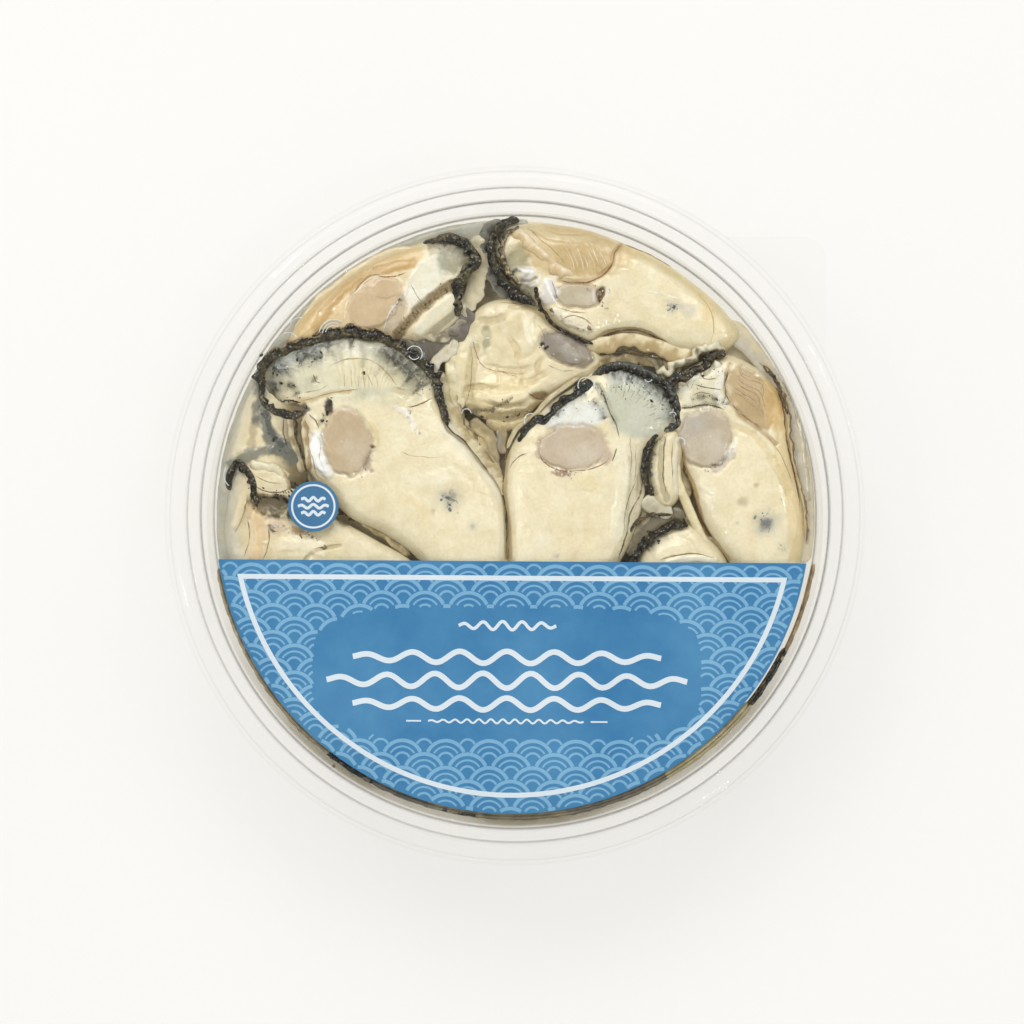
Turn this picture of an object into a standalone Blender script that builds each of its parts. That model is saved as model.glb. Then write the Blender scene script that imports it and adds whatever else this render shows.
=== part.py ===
"""Round clear tub of shucked raw oysters, shut by a clear dished lid with a half-moon label.

Metres, +Z up. The origin is on the table under the middle of the tub, and the label lies
towards -Y, as the pack is read.
"""
import math

import bmesh
import bpy
from mathutils import Vector

MM = 0.001

# Driving dimensions, in millimetres
LID_R = 75.0          # outer edge of the lid's brim
HEIGHT = 38.0         # table to the top of the lid
WALL = 0.8            # sheet thickness of tub and lid
GAP = 0.3             # clearance between neighbouring pieces
BASE_R = 54.2         # inside of the tub where its wall leaves the base
MOUTH_R = 66.9        # inside of the tub just under its flange
MOUTH_Z = 35.2
FLOOR_Z = 2.4         # height at which the tub's wall starts
FLANGE_R = 70.8       # outer edge of the tub's flange
FLANGE_Z = 36.8       # top of the tub's flange
PANEL_Z = 32.4        # top of the lid's sunk panel
PANEL_R = 63.8        # flat part of the panel
RIDGE_R = 67.3        # inner edge of the lid's raised ring
LAND_R = 69.6         # outer edge of the lid's raised ring
BRIM_R = 73.7         # inner edge of the lid's brim
BRIM_Z = 34.9         # top of the lid's brim
SEGMENTS = 64

TAB_X = 66.5          # the pull tab is one rounded corner of a square
TAB_Y = 59.6
TAB_CORNER = 5.0

LABEL_R = 63.2
LABEL_X = -0.5
LABEL_Y = -0.2
LABEL_TOP = -9.8      # straight edge of the half-moon, from the panel's middle
LABEL_TURN = -0.4     # degrees that the label sits askew
LABEL_THICK = 0.3
BADGE_AT = (-43.2, 2.0)
BADGE_R = 5.6

# The contents: a core, and fused on it the oysters that show
CORE_TOP = 23.0
CORE_LOW = 5.0
CORE_INSET = 3.4      # how far the core stays inside the tub's wall
SINK = 3.0            # how far each oyster reaches down into the core
FLOOR_CLEAR = 2.4     # lowest height of the contents, just over the raised middle of the base
RUFFLE_OUT = 0.7      # waves of the mantle's edge
RUFFLE_UP = 0.6
RUFFLES = 15
WALL_OYSTER = (14.5, 5.5, 9.6)    # half length, thickness and height of one along the wall
WALL_COUNT = 11
FLOOR_OYSTER = (15.0, 10.0, 3.6)  # half length, width and thickness of one on the base
FLOOR_COUNT = 6

# Each oyster that shows from above: the height of its back and of its edge, the middle of its
# belly, the bearings between which its mantle is ruffled, its muscle (x, y, half sizes, turn)
# and its outline in plan

OYSTERS = {
    "left": dict(
        top=31.0, edge=27.5, centre=(-27, 13), fringe=(62, 165), muscle=(-35.8, 15.6, 5.2, 7.2, 0),
        outline=[(-54.2, 27.6), (-52.9, 33.6), (-46.1, 37.4), (-36.4, 39.3), (-26.4, 37.8),
                 (-18.7, 32.3), (-15.3, 22.9), (-8.9, 14.3), (-3.3, 6.4), (-1.4, -2.8),
                 (-2.0, -12.4), (-7.6, -20.3), (-15.1, -17.7), (-20.8, -9.2), (-27.9, -3.8),
                 (-35.4, -0.2), (-40.7, 5.3), (-44.8, 11.1), (-45.2, 18.6), (-47.8, 22.4)]),
    "middle": dict(
        top=31.1, edge=27.0, centre=(14, 6), fringe=(25, 115), muscle=(12.7, 15.0, 8.0, 5.0, 8),
        outline=[(-1.4, -11.3), (-1.6, -1.1), (-2.7, 6.6), (-1.6, 13.2), (1.8, 19.2),
                 (6.3, 23.9), (12.7, 28.0), (18.1, 31.8), (24.9, 32.3), (31.7, 28.0),
                 (35.2, 21.2), (32.6, 17.7), (28.7, 13.9), (28.1, 6.0), (26.2, -1.5),
                 (22.3, -10.3), (15.9, -17.7), (6.9, -19.0), (0.5, -16.5)]),
    "right": dict(
        top=30.9, edge=26.5, centre=(49, 10), fringe=(95, 160), muscle=(41.3, 17.1, 6.3, 6.3, 0),
        outline=[(32.6, 25.0), (34.3, 29.9), (39.4, 33.1), (45.8, 34.8), (52.7, 31.4),
                 (57.2, 26.3), (58.9, 18.6), (60.4, 9.0), (62.3, 0.4), (62.1, -7.1),
                 (58.7, -15.6), (51.2, -17.7), (45.8, -9.8), (40.5, -1.3), (37.7, 6.8),
                 (35.2, 14.3), (33.0, 19.7)]),
    "top_right": dict(
        top=30.7, edge=27.2, centre=(18, 50), fringe=(150, 205), muscle=(12.5, 47.2, 4.5, 3.2, 0),
        outline=[(-4.6, 59.2), (-0.7, 62.5), (6.3, 63.0), (14.9, 61.8), (22.8, 59.0),
                 (30.9, 55.3), (38.8, 49.8), (44.1, 44.2), (44.1, 38.9), (38.4, 35.3),
                 (31.7, 36.8), (26.6, 39.3), (20.6, 39.1), (15.9, 37.2), (9.5, 40.4),
                 (4.2, 45.7), (-1.6, 49.4), (-5.0, 54.5)]),
    "top_left": dict(
        top=29.6, edge=26.4, centre=(-27, 48), fringe=(-10, 40), muscle=(-30.0, 45.8, 6.5, 4.8, 25),
        outline=[(-48.2, 36.8), (-46.1, 42.5), (-39.6, 48.9), (-32.2, 54.5), (-23.6, 57.9),
                 (-15.1, 59.8), (-8.0, 56.0), (-11.0, 49.6), (-11.9, 42.5), (-18.3, 37.8),
                 (-29.0, 38.3), (-38.6, 38.3)]),
    "back": dict(
        top=28.8, edge=26.0, centre=(-1, 34), fringe=(200, 300), muscle=(10.8, 37.0, 5.6, 4.2, 0),
        outline=[(-10.6, 40.0), (-8.0, 44.7), (-3.3, 46.8), (3.1, 46.4), (8.7, 41.7),
                 (17.2, 36.5), (18.1, 31.8), (12.1, 28.4), (6.3, 25.0), (1.0, 20.7),
                 (-5.9, 20.7), (-11.4, 24.1), (-14.0, 29.3), (-14.4, 35.3)]),
    "low_left": dict(
        top=28.4, edge=26.2, centre=(-46, -7), fringe=(120, 170), muscle=None,
        outline=[(-60.6, 10.0), (-55.0, 11.8), (-48.2, 10.0), (-44.8, 5.3), (-37.5, -0.6),
                 (-30.0, -4.9), (-21.5, -10.3), (-20.4, -17.7), (-31.1, -26.3), (-46.1, -24.1),
                 (-57.8, -15.6), (-62.3, -6.0), (-61.9, 2.6)]),
    "low_middle": dict(
        top=28.0, edge=25.6, centre=(36, -12), fringe=(70, 160), muscle=None,
        outline=[(25.3, -12.4), (27.0, -6.0), (31.7, -2.6), (37.3, -1.5), (42.0, -4.9),
                 (45.8, -10.3), (45.4, -17.7), (37.3, -22.0), (28.7, -19.9)]),
    "under_left": dict(
        top=29.8, edge=26.8, centre=(-34, -38), fringe=(200, 270),
        muscle=(-34.0, -34.0, 6.0, 5.0, 20),
        outline=[(-56.0, -24.0), (-45.0, -21.0), (-30.0, -24.0), (-18.0, -30.0), (-12.0, -42.0),
                 (-17.0, -55.0), (-28.0, -56.5), (-40.0, -48.5), (-51.0, -36.0)]),
    "under_middle": dict(
        top=30.2, edge=27.0, centre=(2, -40), fringe=(230, 300), muscle=(4.0, -35.0, 5.2, 6.6, 0),
        outline=[(-14.0, -24.0), (0.0, -20.0), (14.0, -22.0), (21.0, -30.0), (23.0, -44.0),
                 (18.0, -56.0), (4.0, -61.5), (-10.0, -61.0), (-16.0, -52.0), (-17.0, -36.0)]),
    "under_right": dict(
        top=29.9, edge=26.6, centre=(38, -36), fringe=(300, 350),
        muscle=(37.0, -33.0, 6.0, 5.2, 60),
        outline=[(22.0, -22.0), (36.0, -20.0), (52.0, -21.0), (58.0, -23.0), (54.0, -32.0),
                 (49.0, -39.0), (40.0, -48.5), (28.0, -56.0), (20.0, -57.0), (20.0, -42.0)]),
}


def clear_scene():
    for old in list(bpy.data.objects):
        bpy.data.objects.remove(old, do_unlink=True)


def collection(name):
    made = bpy.data.collections.new(name)
    bpy.context.scene.collection.children.link(made)
    return made


def material(name, colour, roughness, alpha=1.0):
    made = bpy.data.materials.new(name)
    made.use_nodes = True
    shader = made.node_tree.nodes["Principled BSDF"]
    shader.inputs["Base Color"].default_value = (*colour, 1.0)
    shader.inputs["Roughness"].default_value = roughness
    shader.inputs["Metallic"].default_value = 0.0
    shader.inputs["Alpha"].default_value = alpha
    return made


def add_object(name, data, group, look=None):
    made = bpy.data.objects.new(name, data)
    group.objects.link(made)
    if look is not None:
        data.materials.append(look)
    return made


def smooth(made, angle=30.0):
    mesh = made.data
    mesh.shade_smooth()
    mesh.set_sharp_from_angle(angle=math.radians(angle))


def turned(name, profile, group, look):
    """A solid of revolution: the profile runs out from the axis, down the outer side and back."""
    mesh = bpy.data.meshes.new(name)
    edges = [(i, i + 1) for i in range(len(profile) - 1)]
    mesh.from_pydata([(r * MM, 0.0, z * MM) for r, z in profile], edges, [])
    made = add_object(name, mesh, group, look)
    screw = made.modifiers.new("turn", "SCREW")
    screw.axis = "Z"
    screw.steps = SEGMENTS
    screw.render_steps = SEGMENTS
    screw.use_merge_vertices = True
    screw.merge_threshold = 0.00001
    screw.use_smooth_shade = True
    return made


def flat_outline(name, points, low, high, group, look=None):
    """A flat plate between two heights, from a closed outline in millimetres."""
    curve = bpy.data.curves.new(name, "CURVE")
    curve.dimensions = "2D"
    curve.fill_mode = "BOTH"
    curve.extrude = (high - low) / 2.0 * MM
    spline = curve.splines.new("POLY")
    spline.points.add(len(points) - 1)
    for point, (x, y) in zip(spline.points, points):
        point.co = (x * MM, y * MM, 0.0, 1.0)
    spline.use_cyclic_u = True
    made = add_object(name, curve, group, look)
    made.location.z = (low + high) / 2.0 * MM
    return made


def as_mesh(made, group):
    """The same object as a welded mesh, so that a Boolean can use it."""
    bpy.context.view_layer.update()
    mesh = bpy.data.meshes.new_from_object(made.evaluated_get(bpy.context.evaluated_depsgraph_get()))
    shape = bmesh.new()
    shape.from_mesh(mesh)
    bmesh.ops.remove_doubles(shape, verts=shape.verts, dist=0.00001)
    shape.to_mesh(mesh)
    shape.free()
    name = made.name
    place = made.matrix_world.copy()
    bpy.data.objects.remove(made, do_unlink=True)
    welded = add_object(name, mesh, group)
    welded.matrix_world = place
    return welded


def hide_guide(made):
    made.hide_render = True
    made.display_type = "WIRE"


def arc(cx, cy, radius, start, end, count):
    """Points along an arc, from start to end in degrees."""
    turn = [math.radians(start + (end - start) * i / (count - 1)) for i in range(count)]
    return [(cx + radius * math.cos(a), cy + radius * math.sin(a)) for a in turn]


def tub_inside(z):
    """Inside radius of the tub's wall at a height."""
    return BASE_R + (MOUTH_R - BASE_R) * (z - FLOOR_Z) / (MOUTH_Z - FLOOR_Z)


def tub_profile():
    kick_r = 46.0
    kick_z = 1.2
    lip_z = FLANGE_Z - 2.2
    inside = [(0.0, kick_z + WALL), (kick_r + 0.3, kick_z + WALL), (kick_r + 2.0, WALL),
              (BASE_R - 2.2, WALL), (BASE_R - 0.7, WALL + 0.5), (BASE_R, FLOOR_Z),
              (MOUTH_R, MOUTH_Z), (MOUTH_R + 0.2, FLANGE_Z - 0.5)]
    flange = [(MOUTH_R + 0.8, FLANGE_Z), (FLANGE_R - 0.6, FLANGE_Z), (FLANGE_R, FLANGE_Z - 0.4),
              (FLANGE_R, lip_z), (FLANGE_R - WALL, lip_z), (FLANGE_R - WALL, FLANGE_Z - WALL),
              (MOUTH_R + WALL + 0.4, FLANGE_Z - WALL), (MOUTH_R + WALL, MOUTH_Z - 0.6)]
    outside = [(BASE_R + WALL, FLOOR_Z - 0.4), (BASE_R, 0.5), (BASE_R - 1.2, 0.0), (kick_r + 1.4, 0.0),
               (kick_r - 0.3, kick_z), (0.0, kick_z)]
    return inside + flange + outside


def lid_profile():
    top = [(0.0, PANEL_Z), (PANEL_R, PANEL_Z), (PANEL_R + 0.5, PANEL_Z + 0.5), (RIDGE_R - 1.2, HEIGHT - 0.7),
           (RIDGE_R - 0.5, HEIGHT), (LAND_R, HEIGHT), (LAND_R + 0.7, HEIGHT - 0.5)]
    skirt = [(LAND_R + 2.3, BRIM_Z + 1.5), (BRIM_R - 1.1, BRIM_Z + 0.3), (BRIM_R, BRIM_Z), (LID_R, BRIM_Z),
             (LID_R, BRIM_Z - WALL), (BRIM_R - 0.3, BRIM_Z - WALL), (BRIM_R - 1.8, BRIM_Z - 0.3)]
    inner_z = HEIGHT - WALL
    under = [(LAND_R + 1.6, BRIM_Z + 1.2), (LAND_R + 0.4, inner_z - 0.2), (LAND_R - 0.4, inner_z),
             (RIDGE_R + 0.1, inner_z), (RIDGE_R - 0.7, inner_z - 0.6), (PANEL_R + 1.2, PANEL_Z + 0.5),
             (PANEL_R + 0.6, PANEL_Z - WALL), (0.0, PANEL_Z - WALL)]
    return top + skirt + under


def tab_outline():
    """The corner of a square sheet that runs past the brim, with its root inside the brim."""
    root_r = (BRIM_R + LID_R) / 2.0
    low = math.degrees(math.acos(TAB_X / LID_R))
    high = math.degrees(math.asin(TAB_Y / LID_R))
    root = arc(0, 0, root_r, high, low, 7)
    corner = arc(TAB_X - TAB_CORNER, TAB_Y - TAB_CORNER, TAB_CORNER, 0, 90, 6)
    return root + corner


def label_outline():
    """A half-moon: one arc and the straight edge that closes it."""
    reach = math.degrees(math.asin((LABEL_TOP - LABEL_Y) / LABEL_R))
    moon = arc(0, 0, LABEL_R, 180 - reach, 360 + reach, 60)
    turn = math.radians(LABEL_TURN)
    cos = math.cos(turn)
    sin = math.sin(turn)
    return [(LABEL_X + x * cos - y * sin, LABEL_Y + x * sin + y * cos) for x, y in moon]


def closed_curve(points, per_span=6):
    """A smooth closed curve through the points (Catmull-Rom)."""
    count = len(points)
    curve = []
    for i in range(count):
        p0, p1, p2, p3 = (Vector(points[(i + k - 1) % count]) for k in range(4))
        for step in range(per_span):
            t = step / per_span
            curve.append(0.5 * ((2 * p1) + (p2 - p0) * t + (2 * p0 - 5 * p1 + 4 * p2 - p3) * t ** 2
                                + (3 * p1 - p0 - 3 * p2 + p3) * t ** 3))
    return curve


def reach_along(curve, centre, angle):
    """Distance from the centre to the outline along a direction."""
    ray = Vector((math.cos(angle), math.sin(angle)))
    side = Vector((-ray.y, ray.x))
    best = 0.0
    for a, b in zip(curve, curve[1:] + curve[:1]):
        da = (a - centre).dot(side)
        db = (b - centre).dot(side)
        if (da > 0) == (db > 0):
            continue
        hit = a + (b - a) * (da / (da - db))
        best = max(best, (hit - centre).dot(ray))
    return best


def keep_inside(x, y, z, clearance):
    """Pull a point in so that it stays clear of the tub's wall."""
    radius = math.hypot(x, y)
    limit = tub_inside(z) - clearance
    scale = min(1.0, limit / radius) if radius > 0 else 1.0
    return Vector((x * scale * MM, y * scale * MM, z * MM))


def ring_solid(name, rings, low_point, high_point, group):
    """A closed solid lofted through rings of equal length, from the lowest to the highest."""
    shape = bmesh.new()
    loops = [[shape.verts.new(p) for p in ring] for ring in rings]
    count = len(rings[0])
    for lower, upper in zip(loops, loops[1:]):
        for i in range(count):
            j = (i + 1) % count
            shape.faces.new((lower[i], lower[j], upper[j], upper[i]))
    bottom = shape.verts.new(low_point)
    top = shape.verts.new(high_point)
    for i in range(count):
        j = (i + 1) % count
        shape.faces.new((bottom, loops[0][j], loops[0][i]))
        shape.faces.new((top, loops[-1][i], loops[-1][j]))
    mesh = bpy.data.meshes.new(name)
    shape.to_mesh(mesh)
    shape.free()
    return add_object(name, mesh, group)


def oyster_body(name, spec, clearance, group):
    """A pillow over a closed outline, its mantle ruffled between two bearings."""
    around = 36
    dome = [1.0, 0.5, 0.22, 0.07]       # quarter turn of the pillow's side at each ring
    centre = Vector(spec["centre"])
    curve = closed_curve(spec["outline"])
    first, last = spec["fringe"]
    bearings = [2 * math.pi * i / around for i in range(around)]
    reach = [reach_along(curve, centre, a) for a in bearings]
    low = CORE_TOP - SINK
    rings = []
    for level, turn in [(low, dome[0])] + [(None, d) for d in dome]:
        share = math.sin(turn * math.pi / 2)
        lift = math.cos(turn * math.pi / 2) ** 0.8
        ring = []
        for bearing, radius in zip(bearings, reach):
            in_fringe = (math.degrees(bearing) - first) % 360 <= last - first
            wave = math.cos(RUFFLES * bearing) if in_fringe else 0.0
            out = radius * share + RUFFLE_OUT * wave * share ** 4
            x = centre.x + out * math.cos(bearing)
            y = centre.y + out * math.sin(bearing)
            z = spec["edge"] + (spec["top"] - spec["edge"]) * lift + RUFFLE_UP * wave * share ** 6
            ring.append(keep_inside(x, y, z if level is None else level, clearance))
        rings.append(ring)
    return ring_solid(name, rings, Vector((centre.x * MM, centre.y * MM, low * MM)),
                      Vector((centre.x * MM, centre.y * MM, spec["top"] * MM)), group)


def oyster_muscle(name, spec, group):
    """The round muscle scar, a low bevelled disc on the body."""
    x, y, half_x, half_y, turn = spec["muscle"]
    sunk = 3.0
    proud = 0.25
    shape = bmesh.new()
    bmesh.ops.create_cone(shape, cap_ends=True, segments=14, radius1=1.0, radius2=0.86, depth=1.0)
    mesh = bpy.data.meshes.new(name)
    shape.to_mesh(mesh)
    shape.free()
    made = add_object(name, mesh, group)
    made.location = (x * MM, y * MM, (spec["top"] + proud - sunk / 2.0) * MM)
    made.rotation_euler.z = math.radians(turn)
    made.scale = (half_x * MM, half_y * MM, sunk * MM)
    return made


def stretched_ball(u_segments, v_segments, place):
    """A unit ball whose points are moved by a function."""
    shape = bmesh.new()
    bmesh.ops.create_uvsphere(shape, u_segments=u_segments, v_segments=v_segments, radius=1.0)
    for vertex in shape.verts:
        vertex.co = place(vertex.co.copy())
    mesh = bpy.data.meshes.new("ball")
    shape.to_mesh(mesh)
    shape.free()
    return mesh


def wall_oyster(index, group):
    """An oyster that lies flat along the wall, each a little different."""
    bearing = 2 * math.pi * (index + 0.18 * math.sin(2.4 * index)) / WALL_COUNT
    height = 13.0 + 2.0 * math.sin(1.9 * index)
    size = 1.0 + 0.12 * math.sin(3.1 * index + 1.0)
    lean = 0.5 * math.sin(2.2 * index + 0.4)
    half_length, half_thick, half_height = (size * v for v in WALL_OYSTER)
    radius = tub_inside(height) - WALL_OYSTER[1]

    def place(co):
        along = co.x * half_length * math.cos(lean) - co.z * half_height * math.sin(lean)
        up = co.x * half_length * math.sin(lean) + co.z * half_height * math.cos(lean)
        z = min(max(height + up, FLOOR_CLEAR + 1.2), CORE_TOP + SINK)
        angle = bearing + along / radius
        distance = radius + co.y * half_thick + tub_inside(z) - tub_inside(height)
        return keep_inside(distance * math.cos(angle), distance * math.sin(angle), z, GAP + 0.35)

    return add_object(f"wall_{index}", stretched_ball(12, 7, place), group)


def floor_oyster(index, group):
    """An oyster that lies on the base, pressed flat there."""
    bearing = 2 * math.pi * (index + 0.3 * math.sin(1.7 * index)) / FLOOR_COUNT
    distance = 25.0 + 4.0 * math.sin(2.9 * index)
    turn = bearing + 0.9 * math.sin(2.1 * index + 0.7)
    half_length, half_width, half_thick = FLOOR_OYSTER

    def place(co):
        x = co.x * half_length * math.cos(turn) - co.y * half_width * math.sin(turn)
        y = co.x * half_length * math.sin(turn) + co.y * half_width * math.cos(turn)
        z = CORE_LOW + max(co.z * half_thick, FLOOR_CLEAR + 0.1 - CORE_LOW)
        return keep_inside(distance * math.cos(bearing) + x, distance * math.sin(bearing) + y, z, 4.0)

    return add_object(f"floor_{index}", stretched_ball(12, 6, place), group)


def core_solid(name, group, look):
    """The unseen middle of the heap, a plug that follows the tub's wall a little way in."""
    sides = 40
    steps = [(CORE_LOW, CORE_INSET + 2.0), (CORE_LOW + 2.0, CORE_INSET), (CORE_TOP - 1.5, CORE_INSET),
             (CORE_TOP, CORE_INSET + 2.0)]
    rings = []
    for z, inset in steps:
        circle = arc(0, 0, tub_inside(z) - inset, 0, 360, sides + 1)[:-1]
        rings.append([Vector((x * MM, y * MM, z * MM)) for x, y in circle])
    made = ring_solid(name, rings, Vector((0, 0, CORE_LOW * MM)), Vector((0, 0, CORE_TOP * MM)), group)
    made.data.materials.append(look)
    return made


def build_tub(group):
    look = material("clear_sheet", (0.93, 0.94, 0.93), 0.08, 0.3)
    return turned("tub", tub_profile(), group, look)


def build_lid(group, guides):
    look = material("clear_lid_sheet", (0.95, 0.95, 0.94), 0.06, 0.3)
    lid = turned("lid", lid_profile(), group, look)
    tab = flat_outline("pull_tab_shape", tab_outline(), BRIM_Z - WALL + 0.1, BRIM_Z - 0.1, guides)
    tab = as_mesh(tab, guides)
    hide_guide(tab)
    join = lid.modifiers.new("pull_tab", "BOOLEAN")
    join.operation = "UNION"
    join.object = tab
    return lid


def build_print(group):
    blue = material("label_film", (0.08, 0.33, 0.62), 0.3)
    low = PANEL_Z + GAP
    label = flat_outline("label", label_outline(), low, low + LABEL_THICK, group, blue)
    disc = arc(*BADGE_AT, BADGE_R, 0, 360, 37)[:-1]
    badge = flat_outline("badge", disc, low, low + LABEL_THICK, group, blue)
    return [label, badge]


def build_oysters(group):
    flesh = material("oyster_flesh", (0.83, 0.78, 0.62), 0.35)
    heap = core_solid("oysters", group, flesh)
    pieces = collection("heap_pieces")
    for index, (name, spec) in enumerate(OYSTERS.items()):
        clearance = GAP + 0.1 + 0.05 * index
        oyster_body("body_" + name, spec, clearance, pieces)
        if spec["muscle"]:
            oyster_muscle("muscle_" + name, spec, pieces)
    for index in range(WALL_COUNT):
        wall_oyster(index, pieces)
    for index in range(FLOOR_COUNT):
        floor_oyster(index, pieces)
    fuse = heap.modifiers.new("fuse", "BOOLEAN")
    fuse.operation = "UNION"
    fuse.operand_type = "COLLECTION"
    fuse.collection = pieces
    bpy.context.view_layer.update()
    fused = bpy.data.meshes.new_from_object(heap.evaluated_get(bpy.context.evaluated_depsgraph_get()))
    heap.modifiers.remove(fuse)
    heap.data = fused
    for piece in list(pieces.objects):
        bpy.data.objects.remove(piece, do_unlink=True)
    bpy.data.collections.remove(pieces)
    smooth(heap)
    return heap


def main():
    clear_scene()
    pack = collection("oyster_tub")
    guides = collection("guides")
    build_tub(pack)
    build_lid(pack, guides)
    build_print(pack)
    build_oysters(pack)


main()
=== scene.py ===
"""Looks of a round clear tub of shucked raw oysters, seen from almost straight above.

Plan sizes are in millimetres from the middle of the lid, X to the right and Y away from the
label; heights are in millimetres above the table. Every mesh is made in metres. Colours are
8-bit screen colours, and linear() turns them into Blender's.
"""
import math

import bpy
import numpy as np
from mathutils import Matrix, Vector


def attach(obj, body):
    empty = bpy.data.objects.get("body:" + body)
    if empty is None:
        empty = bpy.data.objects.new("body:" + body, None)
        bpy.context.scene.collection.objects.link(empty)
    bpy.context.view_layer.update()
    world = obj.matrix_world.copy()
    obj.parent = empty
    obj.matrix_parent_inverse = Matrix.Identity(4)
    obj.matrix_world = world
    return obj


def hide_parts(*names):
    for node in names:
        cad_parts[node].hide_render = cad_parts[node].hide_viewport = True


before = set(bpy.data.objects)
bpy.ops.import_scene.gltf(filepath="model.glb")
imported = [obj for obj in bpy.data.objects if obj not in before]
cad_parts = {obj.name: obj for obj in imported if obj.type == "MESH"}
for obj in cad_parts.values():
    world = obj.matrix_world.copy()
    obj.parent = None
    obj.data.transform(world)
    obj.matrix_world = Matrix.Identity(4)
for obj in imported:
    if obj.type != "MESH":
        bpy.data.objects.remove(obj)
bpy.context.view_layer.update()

MM = 0.001
PIXEL = 0.2137          # one pixel of the photograph at the lid, in millimetres
FULL_TURN = 2 * math.pi

# Tub and lid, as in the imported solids
LID_R = 75.0
HEIGHT = 38.0
BASE_R = 54.2
MOUTH_R = 66.9
MOUTH_Z = 35.2
FLOOR_Z = 2.4
FLANGE_R = 70.8
FLANGE_Z = 36.8
PANEL_Z = 32.4
PANEL_R = 63.8
RIDGE_R = 67.3
LAND_R = 69.6
BRIM_R = 73.7
BRIM_Z = 34.9
SHEET = 0.5             # thickness of the clear sheet
TURN_SEGMENTS = 200
TAB_X = 66.5
TAB_Y = 59.6
TAB_CORNER = 5.0

# Print
LABEL_R = 63.7
LABEL_X = -0.5
LABEL_Y = -0.2
LABEL_TOP = -9.8
LABEL_TURN = -0.4       # degrees
PRINT_Z = PANEL_Z + 0.01
PRINT_FACE = PRINT_Z + 0.12
INK = 0.03
BADGE_AT = (-43.2, 2.0)
BADGE_R = 5.4

# Heap and liquid
UNDER_LID = 31.85       # what is pressed flat against the lid's panel
PRESS = 0.6             # depth over which a top flattens against the panel
LIQUID_Z = 30.6
FADE_FROM = 29.0
FADE = 4.5              # depth in the liquid over which colours fade
FADE_MOST = 0.82
HIDDEN_Y = -12.0        # nearer than this the label hides the oysters
HIDDEN_SHARE = 0.35     # share of the points that a hidden stretch of outline gets
WALL_CLEAR = 0.25
WALL_OYSTER = (15.5, 5.5, 8.4)      # half sizes along the wall, through and up
WALL_COUNT = 17
FLOOR_OYSTER = (15.0, 10.0, 3.6)    # half length, width and height
FLOOR_COUNT = 6
CORE_TOP = 23.0
CORE_LOW = 5.0

# Colours
CREAM = (249, 240, 212)
BELLY = (242, 231, 196)
PALE = (238, 236, 222)
ROSE = (203, 183, 150)
ROSE_GREY = (206, 190, 165)
SLATE = (118, 122, 118)
DARK = (30, 29, 25)
OLIVE = (70, 64, 46)
BROWN = (120, 92, 48)
BLUE_SPOT = (120, 130, 138)
MURK = (184, 176, 152)
SIDE_COLOURS = (BELLY, (230, 208, 160), (222, 214, 184), CREAM)


def linear(colour):
    """Linear colour of an 8-bit screen colour."""
    return tuple(((c / 255 + 0.055) / 1.055) ** 2.4 if c > 10 else c / 255 / 12.92 for c in colour)


# Arrays

def rng_value(ix, iy, iz, seed):
    """A repeatable random number in 0..1 for each lattice point."""
    h = (ix * 374761393 + iy * 668265263 + iz * 2147483647 + seed * 1274126177).astype(np.int64) & 0xFFFFFFFF
    h = ((h ^ (h >> 13)) * 1274126177) & 0xFFFFFFFF
    return ((h ^ (h >> 16)) & 0xFFFF) / 65535.0


def noise(x, y, z, size, seed=0, octaves=3):
    """Smooth value noise in -1..1, its largest lumps about one size across."""
    total = np.zeros(np.shape(x))
    weight = 1.0
    norm = 0.0
    for octave in range(octaves):
        scale = 2 ** octave / size
        px, py, pz = (np.asarray(v, dtype=float) * scale + 17.3 * octave for v in (x, y, z))
        ix, iy, iz = (np.floor(v).astype(np.int64) for v in (px, py, pz))
        fx, fy, fz = (v - i for v, i in ((px, ix), (py, iy), (pz, iz)))
        fx, fy, fz = (v * v * (3 - 2 * v) for v in (fx, fy, fz))
        value = 0.0
        for dx in (0, 1):
            for dy in (0, 1):
                for dz in (0, 1):
                    corner = rng_value(ix + dx, iy + dy, iz + dz, seed + octave)
                    share = (fx if dx else 1 - fx) * (fy if dy else 1 - fy) * (fz if dz else 1 - fz)
                    value = value + corner * share
        total += weight * (2 * value - 1)
        norm += weight
        weight *= 0.5
    return total / norm


def step(value, low, high):
    """A smooth step from 0 at low to 1 at high."""
    t = np.clip((value - low) / (high - low), 0.0, 1.0)
    return t * t * (3 - 2 * t)


def blended(tint, mask, colour):
    """The tint with a linear colour laid over it by a mask in 0..1."""
    mask = mask[:, None]
    return tint * (1 - mask) + np.array(colour) * mask


def smooth_path(points, closed=False, spacing=0.5):
    """Even points along a smooth curve through the given ones."""
    given = np.array(points, dtype=float)
    count = len(given)
    t = np.linspace(0, 1, 24, endpoint=False)[:, None]
    dense = []
    for i in range(count if closed else count - 1):
        around = range(i - 1, i + 3)
        p0, p1, p2, p3 = (given[k % count if closed else min(max(k, 0), count - 1)] for k in around)
        dense.append(0.5 * (2 * p1 + (p2 - p0) * t + (2 * p0 - 5 * p1 + 4 * p2 - p3) * t ** 2
                            + (3 * p1 - p0 - 3 * p2 + p3) * t ** 3))
    dense.append(given[:1] if closed else given[-1:])
    dense = np.vstack(dense)
    length = np.concatenate([[0], np.cumsum(np.linalg.norm(np.diff(dense, axis=0), axis=1))])
    steps = max(int(round(length[-1] / spacing)), 3)
    even = np.linspace(0, length[-1], steps + 1)
    path = np.column_stack([np.interp(even, length, dense[:, k]) for k in range(dense.shape[1])])
    return path[:-1] if closed else path


def across_path(path):
    """Unit vectors to the left of an open path."""
    ahead = np.gradient(path, axis=0)
    ahead /= np.linalg.norm(ahead, axis=1)[:, None]
    return np.column_stack([-ahead[:, 1], ahead[:, 0]])


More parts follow.
